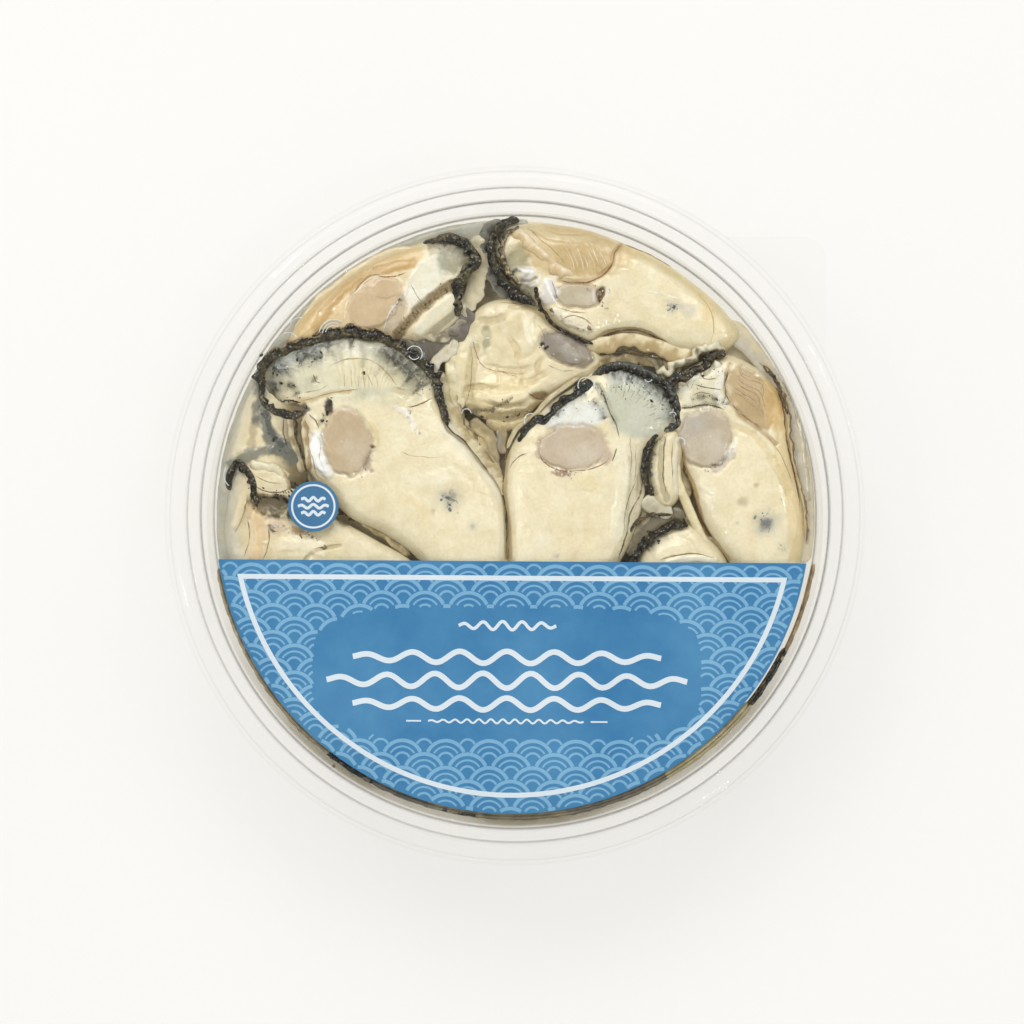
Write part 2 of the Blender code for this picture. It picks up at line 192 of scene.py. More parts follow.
def distance_to(xy, path, closed=False):
    """Distance of each point to a path, and how far along the path the nearest place is (0..1)."""
    start = path if closed else path[:-1]
    end = np.roll(path, -1, axis=0) if closed else path[1:]
    edge = end - start
    size = np.maximum((edge ** 2).sum(1), 1e-12)
    best = np.full(len(xy), 1e9)
    along = np.zeros(len(xy))
    for i in range(len(start)):
        to = xy - start[i]
        t = np.clip((to @ edge[i]) / size[i], 0, 1)
        d = np.hypot(to[:, 0] - t * edge[i, 0], to[:, 1] - t * edge[i, 1])
        near = d < best
        best[near] = d[near]
        along[near] = (i + t[near]) / len(start)
    return best, along


def tub_inside(z):
    """Inner radius of the tub's wall at a height."""
    return BASE_R + (MOUTH_R - BASE_R) * (np.asarray(z) - FLOOR_Z) / (MOUTH_Z - FLOOR_Z)


def keep_inside(x, y, z, clearance=WALL_CLEAR):
    """Pull points in so that they stay clear of the tub's wall."""
    radius = np.hypot(x, y)
    scale = np.minimum(1.0, (tub_inside(z) - clearance) / np.maximum(radius, 1e-6))
    return x * scale, y * scale


def murky(z, colours, fog=1.0):
    """Fade colours with depth below the liquid's surface."""
    depth = np.clip(FADE_FROM - z, 0, None)
    return blended(colours, FADE_MOST * (1 - np.exp(-depth / FADE)) * fog, linear(MURK))


# Meshes

def make_mesh(name, verts, faces, look, tint=None, smooth=True):
    """One mesh object from millimetre points, with an optional colour for each point."""
    mesh = bpy.data.meshes.new(name)
    mesh.from_pydata((np.asarray(verts) * MM).tolist(), [], [list(f) for f in faces])
    mesh.update()
    if tint is not None:
        layer = mesh.attributes.new("tint", "FLOAT_COLOR", "POINT")
        rgba = np.ones((len(verts), 4), dtype=np.float32)
        rgba[:, :3] = tint
        layer.data.foreach_set("color", rgba.ravel())
    if smooth:
        mesh.shade_smooth()
    mesh.materials.append(look)
    made = bpy.data.objects.new(name, mesh)
    bpy.context.scene.collection.objects.link(made)
    return made


def grid_faces(rows, columns, flip=False):
    """Quads of a grid of rows by columns, the columns closed round."""
    r = np.arange(rows - 1)[:, None]
    c = np.arange(columns)[None, :]
    a = r * columns + c
    b = r * columns + (c + 1) % columns
    quads = np.stack([a, b, b + columns, a + columns], axis=-1).reshape(-1, 4)
    return (quads[:, ::-1] if flip else quads).tolist()


def closed_grid(verts, columns, tips):
    """A grid of rings closed at both ends by tips: its points, the tips last, and its faces."""
    rows = len(verts) // columns
    faces = grid_faces(rows, columns, flip=True)
    first = len(verts)
    last_row = first - columns
    for i in range(columns):
        j = (i + 1) % columns
        faces.append((first, i, j))
        faces.append((first + 1, last_row + j, last_row + i))
    return np.vstack([verts, tips]), faces


def end_means(values, columns):
    """The means of a grid's first and last ring, as its tips."""
    return [values[:columns].mean(0), values[-columns:].mean(0)]


def unit_ball(rows, columns):
    """Points of a unit ball ring by ring, with its two tips last."""
    polar = np.linspace(0, math.pi, rows)[1:-1]
    turn = np.linspace(0, FULL_TURN, columns, endpoint=False)
    p, t = np.meshgrid(polar, turn, indexing="ij")
    ball = [(np.sin(p) * np.cos(t)).ravel(), (np.sin(p) * np.sin(t)).ravel(), np.cos(p).ravel()]
    return np.vstack([np.column_stack(ball), [0, 0, 1], [0, 0, -1]])


def turned(name, profile, look):
    """A closed solid of revolution from a profile that starts and ends on the axis."""
    profile = np.array(profile, dtype=float)
    inner = profile[1:-1]
    turn = np.linspace(0, FULL_TURN, TURN_SEGMENTS, endpoint=False)
    verts = np.stack([inner[:, :1] * np.cos(turn), inner[:, :1] * np.sin(turn),
                      np.repeat(inner[:, 1:], TURN_SEGMENTS, axis=1)], axis=-1).reshape(-1, 3)
    tips = [[0, 0, profile[0, 1]], [0, 0, profile[-1, 1]]]
    return make_mesh(name, *closed_grid(verts, TURN_SEGMENTS, tips), look)


def rounded(points, radius=0.25, steps=3):
    """The profile with each inner corner turned into a small arc."""
    points = [np.array(p, dtype=float) for p in points]
    out = [points[0]]
    for before, corner, after in zip(points, points[1:], points[2:]):
        to_before = before - corner
        to_after = after - corner
        reach = min(radius, 0.45 * np.linalg.norm(to_before), 0.45 * np.linalg.norm(to_after))
        start = corner + to_before / np.linalg.norm(to_before) * reach
        end = corner + to_after / np.linalg.norm(to_after) * reach
        for k in range(steps + 1):
            t = k / steps
            out.append((1 - t) ** 2 * start + 2 * t * (1 - t) * corner + t * t * end)
    out.append(points[-1])
    return out


def at_height(outline, z):
    return np.column_stack([outline, np.full(len(outline), z)])


def plate(name, outline, low, high, look):
    """A closed flat plate between two heights, from a closed outline."""
    count = len(outline)
    verts = np.vstack([at_height(outline, low), at_height(outline, high)])
    faces = [list(range(count))[::-1], list(range(count, 2 * count))]
    faces += [(i, (i + 1) % count, count + (i + 1) % count, count + i) for i in range(count)]
    return make_mesh(name, verts, faces, look, smooth=False)


def strips(name, lines, low, high, look):
    """Printed lines as thin closed plates: each line is a path, a width and whether it closes."""
    verts = []
    faces = []
    for path, width, closed in lines:
        path = np.asarray(path, dtype=float)
        count = len(path)
        if closed:
            edge = np.roll(path, -1, axis=0) - path
            edge /= np.linalg.norm(edge, axis=1)[:, None]
            ahead = edge + np.roll(edge, 1, axis=0)
        else:
            ahead = np.gradient(path, axis=0)
        side = np.column_stack([-ahead[:, 1], ahead[:, 0]]) / np.linalg.norm(ahead, axis=1)[:, None]
        if closed:
            side /= np.maximum(side[:, 1] * edge[:, 0] - side[:, 0] * edge[:, 1], 0.5)[:, None]
        left = path + side * width / 2
        right = path - side * width / 2
        ring = np.stack([at_height(right, low), at_height(right, high), at_height(left, high),
                         at_height(left, low)], axis=1).reshape(-1, 3)
        first = len(verts)
        verts.extend(ring.tolist())
        for i in range(count if closed else count - 1):
            a = first + 4 * i
            b = first + 4 * ((i + 1) % count)
            faces += [(a + k, b + k, b + (k + 1) % 4, a + (k + 1) % 4) for k in range(4)]
        if not closed:
            last = first + 4 * (count - 1)
            faces += [(first, first + 1, first + 2, first + 3), (last + 3, last + 2, last + 1, last)]
    return make_mesh(name, np.array(verts), faces, look, smooth=False)


def arc(cx, cy, radius, start, end, count):
    """Points of an arc, its angles in degrees."""
    turn = np.radians(np.linspace(start, end, count))
    return np.column_stack([cx + radius * np.cos(turn), cy + radius * np.sin(turn)])


# Materials

def grey(value):
    return (value,) * 3


def new_material(name):
    made = bpy.data.materials.new(name)
    made.use_nodes = True
    tree = made.node_tree
    tree.nodes.clear()
    return made, tree


def add(tree, kind, inputs=None, **settings):
    """A shader node with its settings; each input is a link or a value."""
    made = tree.nodes.new("ShaderNode" + kind)
    for key, setting in settings.items():
        setattr(made, key, setting)
    for key, value in (inputs or {}).items():
        if isinstance(value, bpy.types.NodeSocket):
            tree.links.new(value, made.inputs[key])
        else:
            made.inputs[key].default_value = value
    return made


def mix_colour(tree, mode, factor, first, second):
    """A mix of two colours; each is a link or a linear colour."""
    first, second = ((*c, 1.0) if isinstance(c, tuple) else c for c in (first, second))
    return add(tree, "Mix", {0: factor, 6: first, 7: second}, data_type="RGBA", blend_type=mode).outputs[2]


def ramp(tree, source, stops):
    made = add(tree, "ValToRGB", {0: source})
    elements = made.color_ramp.elements
    while len(elements) < len(stops):
        elements.new(0.5)
    for element, (place_at, colour) in zip(elements, stops):
        element.position = place_at
        element.color = (*colour, 1.0)
    return made.outputs[0]


def cloud(tree, scale, detail=3.0, roughness=0.5):
    """Noise in object space, scale in lumps to the metre."""
    where = add(tree, "TexCoord").outputs["Object"]
    inputs = {"Scale": scale, "Detail": detail, "Roughness": roughness, "Vector": where}
    return add(tree, "TexNoise", inputs).outputs[0]


def bump(tree, source, strength, distance, after=None):
    inputs = {"Strength": strength, "Distance": distance, "Height": source}
    if after is not None:
        inputs["Normal"] = after
    return add(tree, "Bump", inputs).outputs[0]


def finish_shader(tree, shader):
    add(tree, "OutputMaterial", {"Surface": shader})


def mix_shader(tree, share, first, second):
    finish_shader(tree, add(tree, "MixShader", {0: share, 1: first.outputs[0], 2: second.outputs[0]}).outputs[0])


def flesh_material(name, roughness, specular, coat, spots, grain, painted_glint=0.0):
    """Wet oyster flesh: painted colour, fine mottling, pale dots as painted glints where asked, soft light inside and a
    wet film.
    """
    made, tree = new_material(name)
    paint = add(tree, "Attribute", attribute_name="tint").outputs["Color"]
    fine = cloud(tree, 1500.0, 3.0, 0.6)
    clouded = ramp(tree, cloud(tree, 260.0, 4.0, 0.6), [(0.32, (0.94, 0.92, 0.87)), (0.62, (1.03, 1.03, 1.05))])
    colour = mix_colour(tree, "MULTIPLY", 1.0, paint, clouded)
    colour = mix_colour(tree, "MULTIPLY", 1.0, colour, ramp(tree, fine, spots))
    # Painted glints: pale dots mixed into the base colour stand in for specular sparkle on the wet surface.
    if painted_glint:
        painted_glint_dots = ramp(tree, cloud(tree, 2300.0, 2.0, 0.6), [(0.6, grey(0.0)), (0.7, grey(painted_glint))])
        colour = mix_colour(tree, "MIX", painted_glint_dots, colour, linear((214, 210, 196)))
    lumps = bump(tree, cloud(tree, 420.0, 3.0, 0.55), 0.4, 0.0005 * grain)
    relief = bump(tree, fine, 0.35, 0.00018 * grain, lumps)
    skin = add(tree, "BsdfPrincipled", {
        "Base Color": colour, "Roughness": roughness, "Specular IOR Level": specular,
        "Subsurface Weight": 0.15, "Subsurface Radius": (1.0, 0.75, 0.45), "Subsurface Scale": 0.0014,
        "Coat Weight": coat, "Coat Roughness": 0.05, "Normal": relief, "Coat Normal": relief})
    finish_shader(tree, skin.outputs[0])
    return made


# Bent-light lines of the lid: radius, half width and how dark
LID_RINGS = ((64.5, 0.17, 0.5), (67.15, 0.2, 0.5), (70.1, 0.16, 0.34), (73.9, 0.12, 0.08), (74.85, 0.1, 0.14))
# Tan band that the heap shows as in the lid's slope, at the front alone: radius and strength
FRONT_BAND = ((64.9, 0.0), (65.2, 0.5), (66.3, 0.4), (67.0, 0.0))


def ring_lines(tree, shade):
    """The clear sheet's colour with the lid's rings and front band drawn on it."""
    split = add(tree, "SeparateXYZ", {0: add(tree, "TexCoord").outputs["Object"]})
    flat = add(tree, "CombineXYZ", {0: split.outputs[0], 1: split.outputs[1]})
    size = add(tree, "VectorMath", {0: flat.outputs[0]}, operation="LENGTH").outputs["Value"]
    share = add(tree, "Math", {0: size, 1: LID_R * MM}, operation="DIVIDE").outputs[0]
    stops = []
    for radius, half, tone in LID_RINGS:
        stops += [((radius + side * half) / LID_R, grey(tone if abs(side) < 1 else 0.0))
                  for side in (-1.6, -0.5, 0.5, 1.6)]
    uneven = ramp(tree, cloud(tree, 14.0, 2.0), [(0.3, grey(0.55)), (0.65, grey(1.0))])
    lines = mix_colour(tree, "MULTIPLY", 1.0, ramp(tree, share, stops), uneven)
    band = ramp(tree, share, [(radius / LID_R, grey(tone)) for radius, tone in FRONT_BAND])
    lumpy = ramp(tree, cloud(tree, 34.0, 3.0), [(0.36, grey(0.6)), (0.5, grey(1.0)), (0.62, grey(1.7))])
    band = mix_colour(tree, "MULTIPLY", 1.0, band, lumpy)
    lean = add(tree, "Math", {0: split.outputs[1], 1: -2 * LID_R * MM}, operation="DIVIDE").outputs[0]
    front = ramp(tree, lean, [(0.15, grey(0.0)), (0.4, grey(1.0))])
    shade = mix_colour(tree, "MIX", mix_colour(tree, "MULTIPLY", 1.0, band, front), shade, (0.42, 0.38, 0.27))
    return mix_colour(tree, "MIX", lines, shade, (0.16, 0.15, 0.13))


def clear_material(name, edge, ringed=False):
    """Thin clear sheet with a glossy face, greyer where it turns away."""
    made, tree = new_material(name)
    body = (0.998, 0.998, 0.995)
    facing = add(tree, "LayerWeight", {"Blend": 0.5}).outputs["Facing"]
    shade = ramp(tree, facing, [(0.0, body), (0.7, body), (0.97, edge), (1.0, edge)])
    if ringed:
        shade = ring_lines(tree, shade)
    through = add(tree, "BsdfTransparent", {"Color": shade})
    ripples = bump(tree, cloud(tree, 60.0, 2.0), 0.04, 0.001)
    shine = add(tree, "BsdfGlossy", {"Roughness": 0.05, "Color": (*grey(0.9), 1.0), "Normal": ripples})
    share = ramp(tree, facing, [(0.0, grey(0.006)), (0.5, grey(0.012)), (0.8, grey(0.07)), (0.95, grey(0.26)),
                                (1.0, grey(0.5))])
    mix_shader(tree, share, through, shine)
    return made


def liquid_material():
    """Thin milky liquor: mostly see-through, with a wet face."""
    made, tree = new_material("oyster_liquor")
    through = add(tree, "BsdfTransparent", {"Color": (0.985, 0.98, 0.965, 1.0)})
    haze = cloud(tree, 70.0, 4.0, 0.6)
    colour = ramp(tree, haze, [(0.3, linear((176, 170, 148))), (0.7, linear((214, 208, 190)))])
    ripples = bump(tree, cloud(tree, 130.0, 2.0), 0.12, 0.0006)
    milk = add(tree, "BsdfPrincipled", {"Roughness": 0.06, "Base Color": colour, "Normal": ripples})
    mix_shader(tree, ramp(tree, haze, [(0.25, grey(0.015)), (0.75, grey(0.05))]), through, milk)
    return made


def ink_material(name, low, high):
    """Printed film: a colour that wanders a little, with a satin face."""
    made, tree = new_material(name)
    colour = ramp(tree, cloud(tree, 45.0, 5.0, 0.65), [(0.3, linear(low)), (0.7, linear(high))])
    grain = bump(tree, cloud(tree, 900.0, 2.0), 0.05, 0.0001)
    film = add(tree, "BsdfPrincipled", {"Base Color": colour, "Roughness": 0.35, "Coat Weight": 0.3,
                                        "Coat Roughness": 0.2, "Normal": grain})
    finish_shader(tree, film.outputs[0])
    return made


FLESH = flesh_material("oyster_flesh", 0.4, 0.45, 0.85, [(0.35, (0.96, 0.955, 0.94)), (0.6, grey(1.03))], 1.0)
FRINGE = flesh_material("mantle_fringe", 0.45, 0.12, 0.45,
                        [(0.34, (0.4, 0.38, 0.35)), (0.5, (0.85, 0.82, 0.76)), (0.62, (1.4, 1.3, 1.1)),
                         (0.72, (2.2, 2.1, 1.8))], 1.8, 0.55)
# Threads and flecks: pigment where dark, painted glints and highlight lines where white.
MARKS = flesh_material("pigment_and_glint_marks", 0.45, 0.3, 0.4, [(0.3, grey(0.8)), (0.6, grey(1.1))], 1.0)
LID_SHEET = clear_material("clear_lid", (0.86, 0.855, 0.84), ringed=True)
TUB_SHEET = clear_material("clear_tub", (0.87, 0.865, 0.85))
LIQUOR = liquid_material()
BLUE = ink_material("label_blue", (50, 117, 167), (80, 142, 184))
LIGHT_BLUE = ink_material("label_light_blue", (118, 170, 204), (132, 182, 214))
WHITE_INK = ink_material("label_white", (214, 226, 232), (224, 234, 240))
BADGE_BLUE = ink_material("badge_blue", (62, 112, 152), (76, 126, 164))


def place(made, *nodes, slot=None):
    """Ride on the one body, and stand for CAD nodes where named. The slot is not used."""
    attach(made, "root")
    if nodes:
        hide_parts(*nodes)
    return made


# Oysters

class Body:
    """One oyster as a pillow over a closed outline, with painted colour and relief."""

    RAYS = 900              # directions in which the outline is measured from its middle
    FIRST_RING = 0.012      # share of the way out at which the innermost ring lies
    # How the side goes down from the rim: drop and pull inwards of each ring, before the last one
    SIDE_RINGS = ((0.7, 0.15), (1.8, 0.7), (3.4, 1.2))
    LAST_PULL = 1.6

    def __init__(self, name, outline, centre, top, edge, shoulder=8.0, around=380, rings=84, seed=1, wrinkle=0.12):
        self.name = name
        self.low = 20.0
        self.around = around
        self.edge = edge
        self.seed = seed
        self.threads = []
        self.specks = []
        path = smooth_path(outline, closed=True, spacing=1.0)
        self.lay_grid(path, np.array(centre, dtype=float), rings)
        inset, _ = distance_to(self.xy, path, closed=True)
        rise = np.sqrt(np.clip(1 - (1 - np.minimum(inset / shoulder, 1)) ** 2, 0, 1))
        swell = noise(self.x, self.y, 0, 16.0, seed, 2)
        self.z = edge + (top - edge) * rise + 0.7 * swell * rise
        self.z += rise * (0.26 * noise(self.x, self.y, 4, 6.5, seed + 2, 2)
                          + 0.07 * noise(self.x, self.y, 6, 2.4, seed + 3, 2))
        self.tint = np.tile(np.array(linear(BELLY)), (len(self.x), 1))
        self.base_coat(inset, rise, swell, wrinkle)

    def lay_grid(self, path, middle, rings):
        """Rings of points from the middle out to the outline, closer together near it."""
        ends = np.roll(path, -1, axis=0)
        rim = []
        for angle in np.linspace(0, FULL_TURN, self.RAYS, endpoint=False):
            ray = np.array([math.cos(angle), math.sin(angle)])
            side = np.array([-ray[1], ray[0]])
            da = (path - middle) @ side
            db = (ends - middle) @ side
            cross = (da > 0) != (db > 0)
            hit = path[cross] + (ends - path)[cross] * (da[cross] / (da[cross] - db[cross]))[:, None]
            rim.append(middle + ray * max(((hit - middle) @ ray).max(), 0.5))
        rim = np.array(rim + rim[:1])
        gap = np.linalg.norm(np.diff(rim, axis=0), axis=1) * np.where(rim[1:, 1] < HIDDEN_Y, HIDDEN_SHARE, 1.0)
        length = np.concatenate([[0], np.cumsum(gap)])
        even = np.linspace(0, length[-1], self.around, endpoint=False)
        rim = np.column_stack([np.interp(even, length, rim[:, k]) for k in (0, 1)]) - middle
        share = 1 - (1 - np.linspace(0, 1, rings)) ** 1.35
        share[0] = self.FIRST_RING
        self.x = (middle[0] + share[:, None] * rim[:, 0]).ravel()
        self.y = (middle[1] + share[:, None] * rim[:, 1]).ravel()
        self.xy = np.column_stack([self.x, self.y])

    def base_coat(self, inset, rise, swell, wrinkle):
        """Veins, painted shade at the rim, wisps, and folds with painted shade in their creases."""
        seed = self.seed
        vein = noise(self.x, self.y, 0, 5.0, seed + 5, 4)
        self.paint(step(vein, -0.1, 0.7) * 0.5, CREAM)
        self.paint(step(-vein, 0.15, 0.8) * 0.3, (228, 212, 168))
        # Painted shade: darker towards the rim, where the flesh turns down and thins.
        self.paint(np.exp(-(inset / 1.8) ** 2) * 0.5, (190, 178, 140))
        wisp = np.abs(noise(self.x, self.y, 9, 9.0, seed + 7, 3))
        where = step(noise(self.x, self.y, 2, 13.0, seed + 8, 2), 0.02, 0.4) * rise
        self.paint((1 - step(wisp, 0.0, 0.03)) * where * 0.16, (196, 172, 120))
        self.z -= (1 - step(wisp, 0.0, 0.07)) * where * 0.07
        crease = np.abs(noise(self.x + 1.5 * swell, self.y, 12, 7.5, seed + 15, 3))
        fold = np.clip(1 - 2.6 * crease, 0, 1) ** 2 * rise
        self.z -= wrinkle * fold
        # Painted shade in the creases of the folds.
        self.paint(fold * min(wrinkle, 0.6) * 0.7, (204, 186, 136))

    def cover(self, mask, colour):
        """Lay a linear colour over the body by a mask."""
        self.tint = blended(self.tint, np.clip(mask, 0, 1), colour)

    def paint(self, mask, colour):
        self.cover(mask, linear(colour))

    def blob(self, x, y, half_x, half_y, turn, colour, strength=1.0, lift=0.0, soft=0.35, rough=0.0):
        """An oval patch; returns its mask."""
        a = math.radians(turn)
        dx = self.x - x
        dy = self.y - y
        u = (dx * math.cos(a) + dy * math.sin(a)) / half_x
        v = (-dx * math.sin(a) + dy * math.cos(a)) / half_y
        far = np.hypot(u, v)
        if rough:
            far = far + rough * noise(self.x, self.y, 3.3, 1.6, self.seed + 9, 3)
        mask = 1 - step(far, 1 - soft, 1 + soft * 0.4)
        self.paint(mask * strength, colour)
        self.z += lift * mask
        return mask

    def stroke(self, points, width, colour, strength=1.0, lift=0.0, rough=0.0, fade=0.0):
        """A line along a path; returns its mask. Width is the half width where it is full."""
        path = smooth_path(points, spacing=0.4)
        far, along = distance_to(self.xy, path)
        if rough:
            far = far + rough * width * noise(self.x, self.y, 7.7, 1.4, self.seed + 13, 3)
        mask = 1 - step(far, width * 0.55, width * 1.25)
        if fade:
            mask = mask * step(along, 0, fade) * (1 - step(along, 1 - fade, 1))
        self.paint(mask * strength, colour)
        self.z += lift * mask
        return mask

    def fan(self, focus, region, spokes, colour, strength, depth, wobble=0.35):
        """Striations that run out from a focus, inside a region's mask."""
        angle = np.arctan2(self.y - focus[1], self.x - focus[0])
        radius = np.hypot(self.x - focus[0], self.y - focus[1])
        wave = np.sin(spokes * angle + wobble * 6 * noise(self.x, self.y, 1.1, 4.0, self.seed + 21, 2)
                      + 0.25 * np.sin(radius))
        self.paint(region * strength * step(wave, 0.0, 0.9), colour)
        self.z += region * depth * wave

    def muscle(self, x, y, half_x, half_y, turn, colour=ROSE_GREY, rim=BROWN, rim_strength=0.35):
        """The adductor: a smooth low disc in a narrow groove."""
        self.blob(x, y, half_x + 0.7, half_y + 0.7, turn, rim, rim_strength, -0.35, 0.12, 0.15)
        disc = self.blob(x, y, half_x, half_y, turn, colour, 1.0, 0.7, 0.10, 0.15)
        self.cover(disc * step(noise(self.x, self.y, 8, 2.8, self.seed + 17, 3), 0.0, 0.6) * 0.3,
                   tuple(0.84 * c for c in linear(colour)))
        self.blob(x + 0.25 * half_x, y - 0.3 * half_y, half_x * 0.7, half_y * 0.6, turn, PALE, 0.2, 0.1, 0.8, 0.4)
        a = math.radians(turn)
        ring = [(x + half_x * math.cos(t) * math.cos(a) - half_y * math.sin(t) * math.sin(a),
                 y + half_x * math.cos(t) * math.sin(a) + half_y * math.sin(t) * math.cos(a))
                for t in np.linspace(0, 6.0, 16)]
        # Painted glints: near-white flecks round the rim and paler ones across the disc stand in for wet sparkle.
        self.flecks(ring, 0.3, 44, (0.06, 0.22), (250, 246, 236), (206, 186, 156), 60)
        self.flecks([(x - 0.5 * half_x, y), (x + 0.5 * half_x, y)], 0.45 * half_y, 26, (0.04, 0.12),
                    (240, 232, 220), (216, 202, 184), 61)

    def speck(self, x, y, size, strength=0.8):
        """A blurred blue-grey spot with a darker, broken middle; a large one has rays."""
        self.blob(x, y, size * 1.8, size * 1.6, 20, BLUE_SPOT, 0.33 * strength, -0.05, 0.9, 0.3)
        self.blob(x, y, size * 0.75, size * 0.65, 0, SLATE, 0.7 * strength, -0.12, 0.9, 0.9)
        if size > 0.9:
            for k in range(8):
                a = 0.79 * k + 0.5 * math.sin(3.0 * k + x)
                far = size * (0.9 + 0.35 * math.sin(5.0 * k + y))
                self.thread([(x + 0.3 * size * math.cos(a), y + 0.3 * size * math.sin(a)),
                             (x + 0.7 * far * math.cos(a + 0.2), y + 0.7 * far * math.sin(a + 0.2)),
                             (x + far * math.cos(a), y + far * math.sin(a))],
                            0.05 + 0.04 * strength, (142, 146, 142), 0.9)

    def fringe(self, points, width, colour=DARK, inner=SLATE, strength=1.0, lift=0.3, seed=0):
        """A mottled dark mantle edge that runs inwards in ragged streaks."""
        path = smooth_path(points, spacing=0.4)
        far, along = distance_to(self.xy, path)
        ends = step(along, 0, 0.06) * (1 - step(along, 0.94, 1))
        length = along * 0.4 * len(path)
        streak = noise(length, far * 0.25, 2.0, 1.5, self.seed + 31 + seed, 3)
        mottle = noise(self.x, self.y, 2.0, 3.0, self.seed + 33 + seed, 3)
        fine = noise(self.x, self.y, 5.0, 0.9, self.seed + 37 + seed, 2)
        reach = far - width * (2.6 * streak + 1.6 * mottle)
        wide = (1 - step(reach, width * 0.3, width * 2.6)) * ends
        core = (1 - step(reach + 0.5 * fine + width * 0.5, width * 0.4, width * 1.1)) * ends
        self.paint(np.exp(-(far / (width * 1.5)) ** 2) * 0.6 * ends * strength, inner)
        self.paint(wide * 0.6 * strength * (0.75 + 0.6 * fine), inner)
        self.paint(core * strength * (0.85 + 0.5 * fine), colour)
        self.paint(core * step(fine, 0.2, 0.5) * 0.5, OLIVE)
        self.z += lift * (core + 0.7 * core * fine)
        self.flecks(points, width * 1.0, int(len(path) * 1.1), (0.07, 0.22), seed=seed)

    def thread(self, points, width, colour=BROWN, broken=0.5):
        """A crisp, thin, slightly broken line laid on the surface when the body is built: a crease in brown, a painted
        highlight in white.
        """
        self.threads.append((points, width, linear(colour), broken))

    def flecks(self, points, spread, count, size=(0.12, 0.4), dark=DARK, pale=OLIVE, seed=0):
        """Small flakes scattered about a path, laid on when the body is built: dark ones pigment, near-white ones
        painted glints.
        """
        self.specks.append((points, spread, count, size, np.array(linear(dark)), np.array(linear(pale)), seed))

    def height_at(self, spots):
        """Height of the surface at each spot, from the four nearest points."""
        out = np.zeros(len(spots))
        for i, spot in enumerate(spots):
            far = (self.x - spot[0]) ** 2 + (self.y - spot[1]) ** 2
            near = np.argpartition(far, 4)[:4]
            weight = 1 / (far[near] + 0.01)
            out[i] = (self.z[near] * weight).sum() / weight.sum()
        return out

    def lay_threads(self, verts, faces, tints):
        """Each thread is a strip of five points across: two edges, two shoulders and a keel."""
        spacing = 0.2
        for index, (points, width, colour, broken) in enumerate(self.threads):
            path = smooth_path(points, spacing=spacing)
            count = len(path)
            zero = np.zeros(count)
            length = np.arange(count) * spacing
            across = across_path(path)
            path = path + across * (0.22 * noise(length, zero, index, 2.2, self.seed + 51, 3))[:, None]
            t = np.linspace(0, 1, count)
            taper = np.clip(np.minimum(t, 1 - t) * 6, 0.08, 1)
            lumpy = np.clip(1 + 1.5 * broken * noise(length, zero, index, 1.3, self.seed + 52, 3), 0.12, 2.2)
            half = width * taper * lumpy
            height = self.height_at(path)
            first = len(verts)
            for k in range(count):
                for side, up in ((-1, -0.12), (-0.6, 0.03), (0.6, 0.03), (1, -0.12), (0, -0.2)):
                    spot = path[k] + across[k] * side * half[k]
                    verts.append((spot[0], spot[1], height[k] + up))
            share = step(noise(length, zero, index, 1.0, self.seed + 53, 3), 0.0, 0.8) * broken
            tints.append(np.repeat(blended(np.array(colour), share, linear(BELLY)), 5, axis=0))
            ends = [(4, 3, 2, 1, 0), range(5 * (count - 1), 5 * count)]
            faces += [tuple(first + v for v in face) for face in grid_faces(count, 5) + ends]

    def lay_flecks(self, verts, faces, tints):
        """Each fleck is a six-sided flake with a raised middle and a point below."""
        ring = np.linspace(0, FULL_TURN, 7)[:-1]
        for points, spread, count, size, dark, pale, seed in self.specks:
            dice = np.random.default_rng(self.seed * 100 + seed)
            path = smooth_path(points, spacing=0.3)
            at = path[dice.integers(0, len(path), count)]
            at = at + dice.normal(0, 1, (count, 2)) * spread * np.abs(dice.normal(0, 0.8, (count, 1)))
            for (x, y), height in zip(at, self.height_at(at)):
                long = dice.uniform(*size) * (1 + 2 * (dice.random() < 0.12))
                wide = long * dice.uniform(0.35, 0.9)
                turn = dice.uniform(0, math.pi)
                reach = 1 + dice.uniform(-0.3, 0.3, 6)
                first = len(verts)
                for a, b in zip(long * np.cos(ring) * reach, wide * np.sin(ring) * reach):
                    verts.append((x + a * math.cos(turn) - b * math.sin(turn),
                                  y + a * math.sin(turn) + b * math.cos(turn), height - 0.02))
                verts += [(x, y, height + 0.06), (x, y, height - 0.15)]
                for k in range(6):
                    faces += [(first + k, first + (k + 1) % 6, first + 6), (first + (k + 1) % 6, first + k, first + 7)]
                mix = dice.random()
                tints.append(np.tile(dark * (1 - mix) + pale * mix, (8, 1)))

    def build(self, fog=1.0):
        """Make the body and its marks; returns the body's mesh."""
        low = UNDER_LID - PRESS
        self.z = np.where(self.z > low, low + PRESS * np.tanh((self.z - UNDER_LID + PRESS) / PRESS), self.z)
        verts, faces, tints = [], [], []
        self.lay_threads(verts, faces, tints)
        self.lay_flecks(verts, faces, tints)
        if verts:
            place(make_mesh(self.name + "_marks", np.array(verts), faces, MARKS, np.vstack(tints)))
        x, y = keep_inside(self.x, self.y, self.z)
        rim = slice(len(x) - self.around, len(x))
        layers = [np.column_stack([x, y, self.z])]
        middle = np.array([x.mean(), y.mean()])
        for drop, pull in (*self.SIDE_RINGS, (self.edge - self.low, self.LAST_PULL)):
            out = np.column_stack([x[rim], y[rim]]) - middle
            out *= (1 - pull / np.maximum(np.linalg.norm(out, axis=1), 3))[:, None]
            z = np.minimum(self.z[rim], self.edge + 0.4) - drop
            layers.append(np.column_stack([*keep_inside(middle[0] + out[:, 0], middle[1] + out[:, 1], z), z]))
        tints = np.vstack([self.tint] + [self.tint[rim]] * (len(self.SIDE_RINGS) + 1))
        verts = np.vstack(layers)
        verts, faces = closed_grid(verts, self.around, end_means(verts, self.around))
        colours = murky(verts[:, 2], np.vstack([tints, tints[0], tints[-1]]), fog)
        return make_mesh(self.name, verts, faces, FLESH, colours)


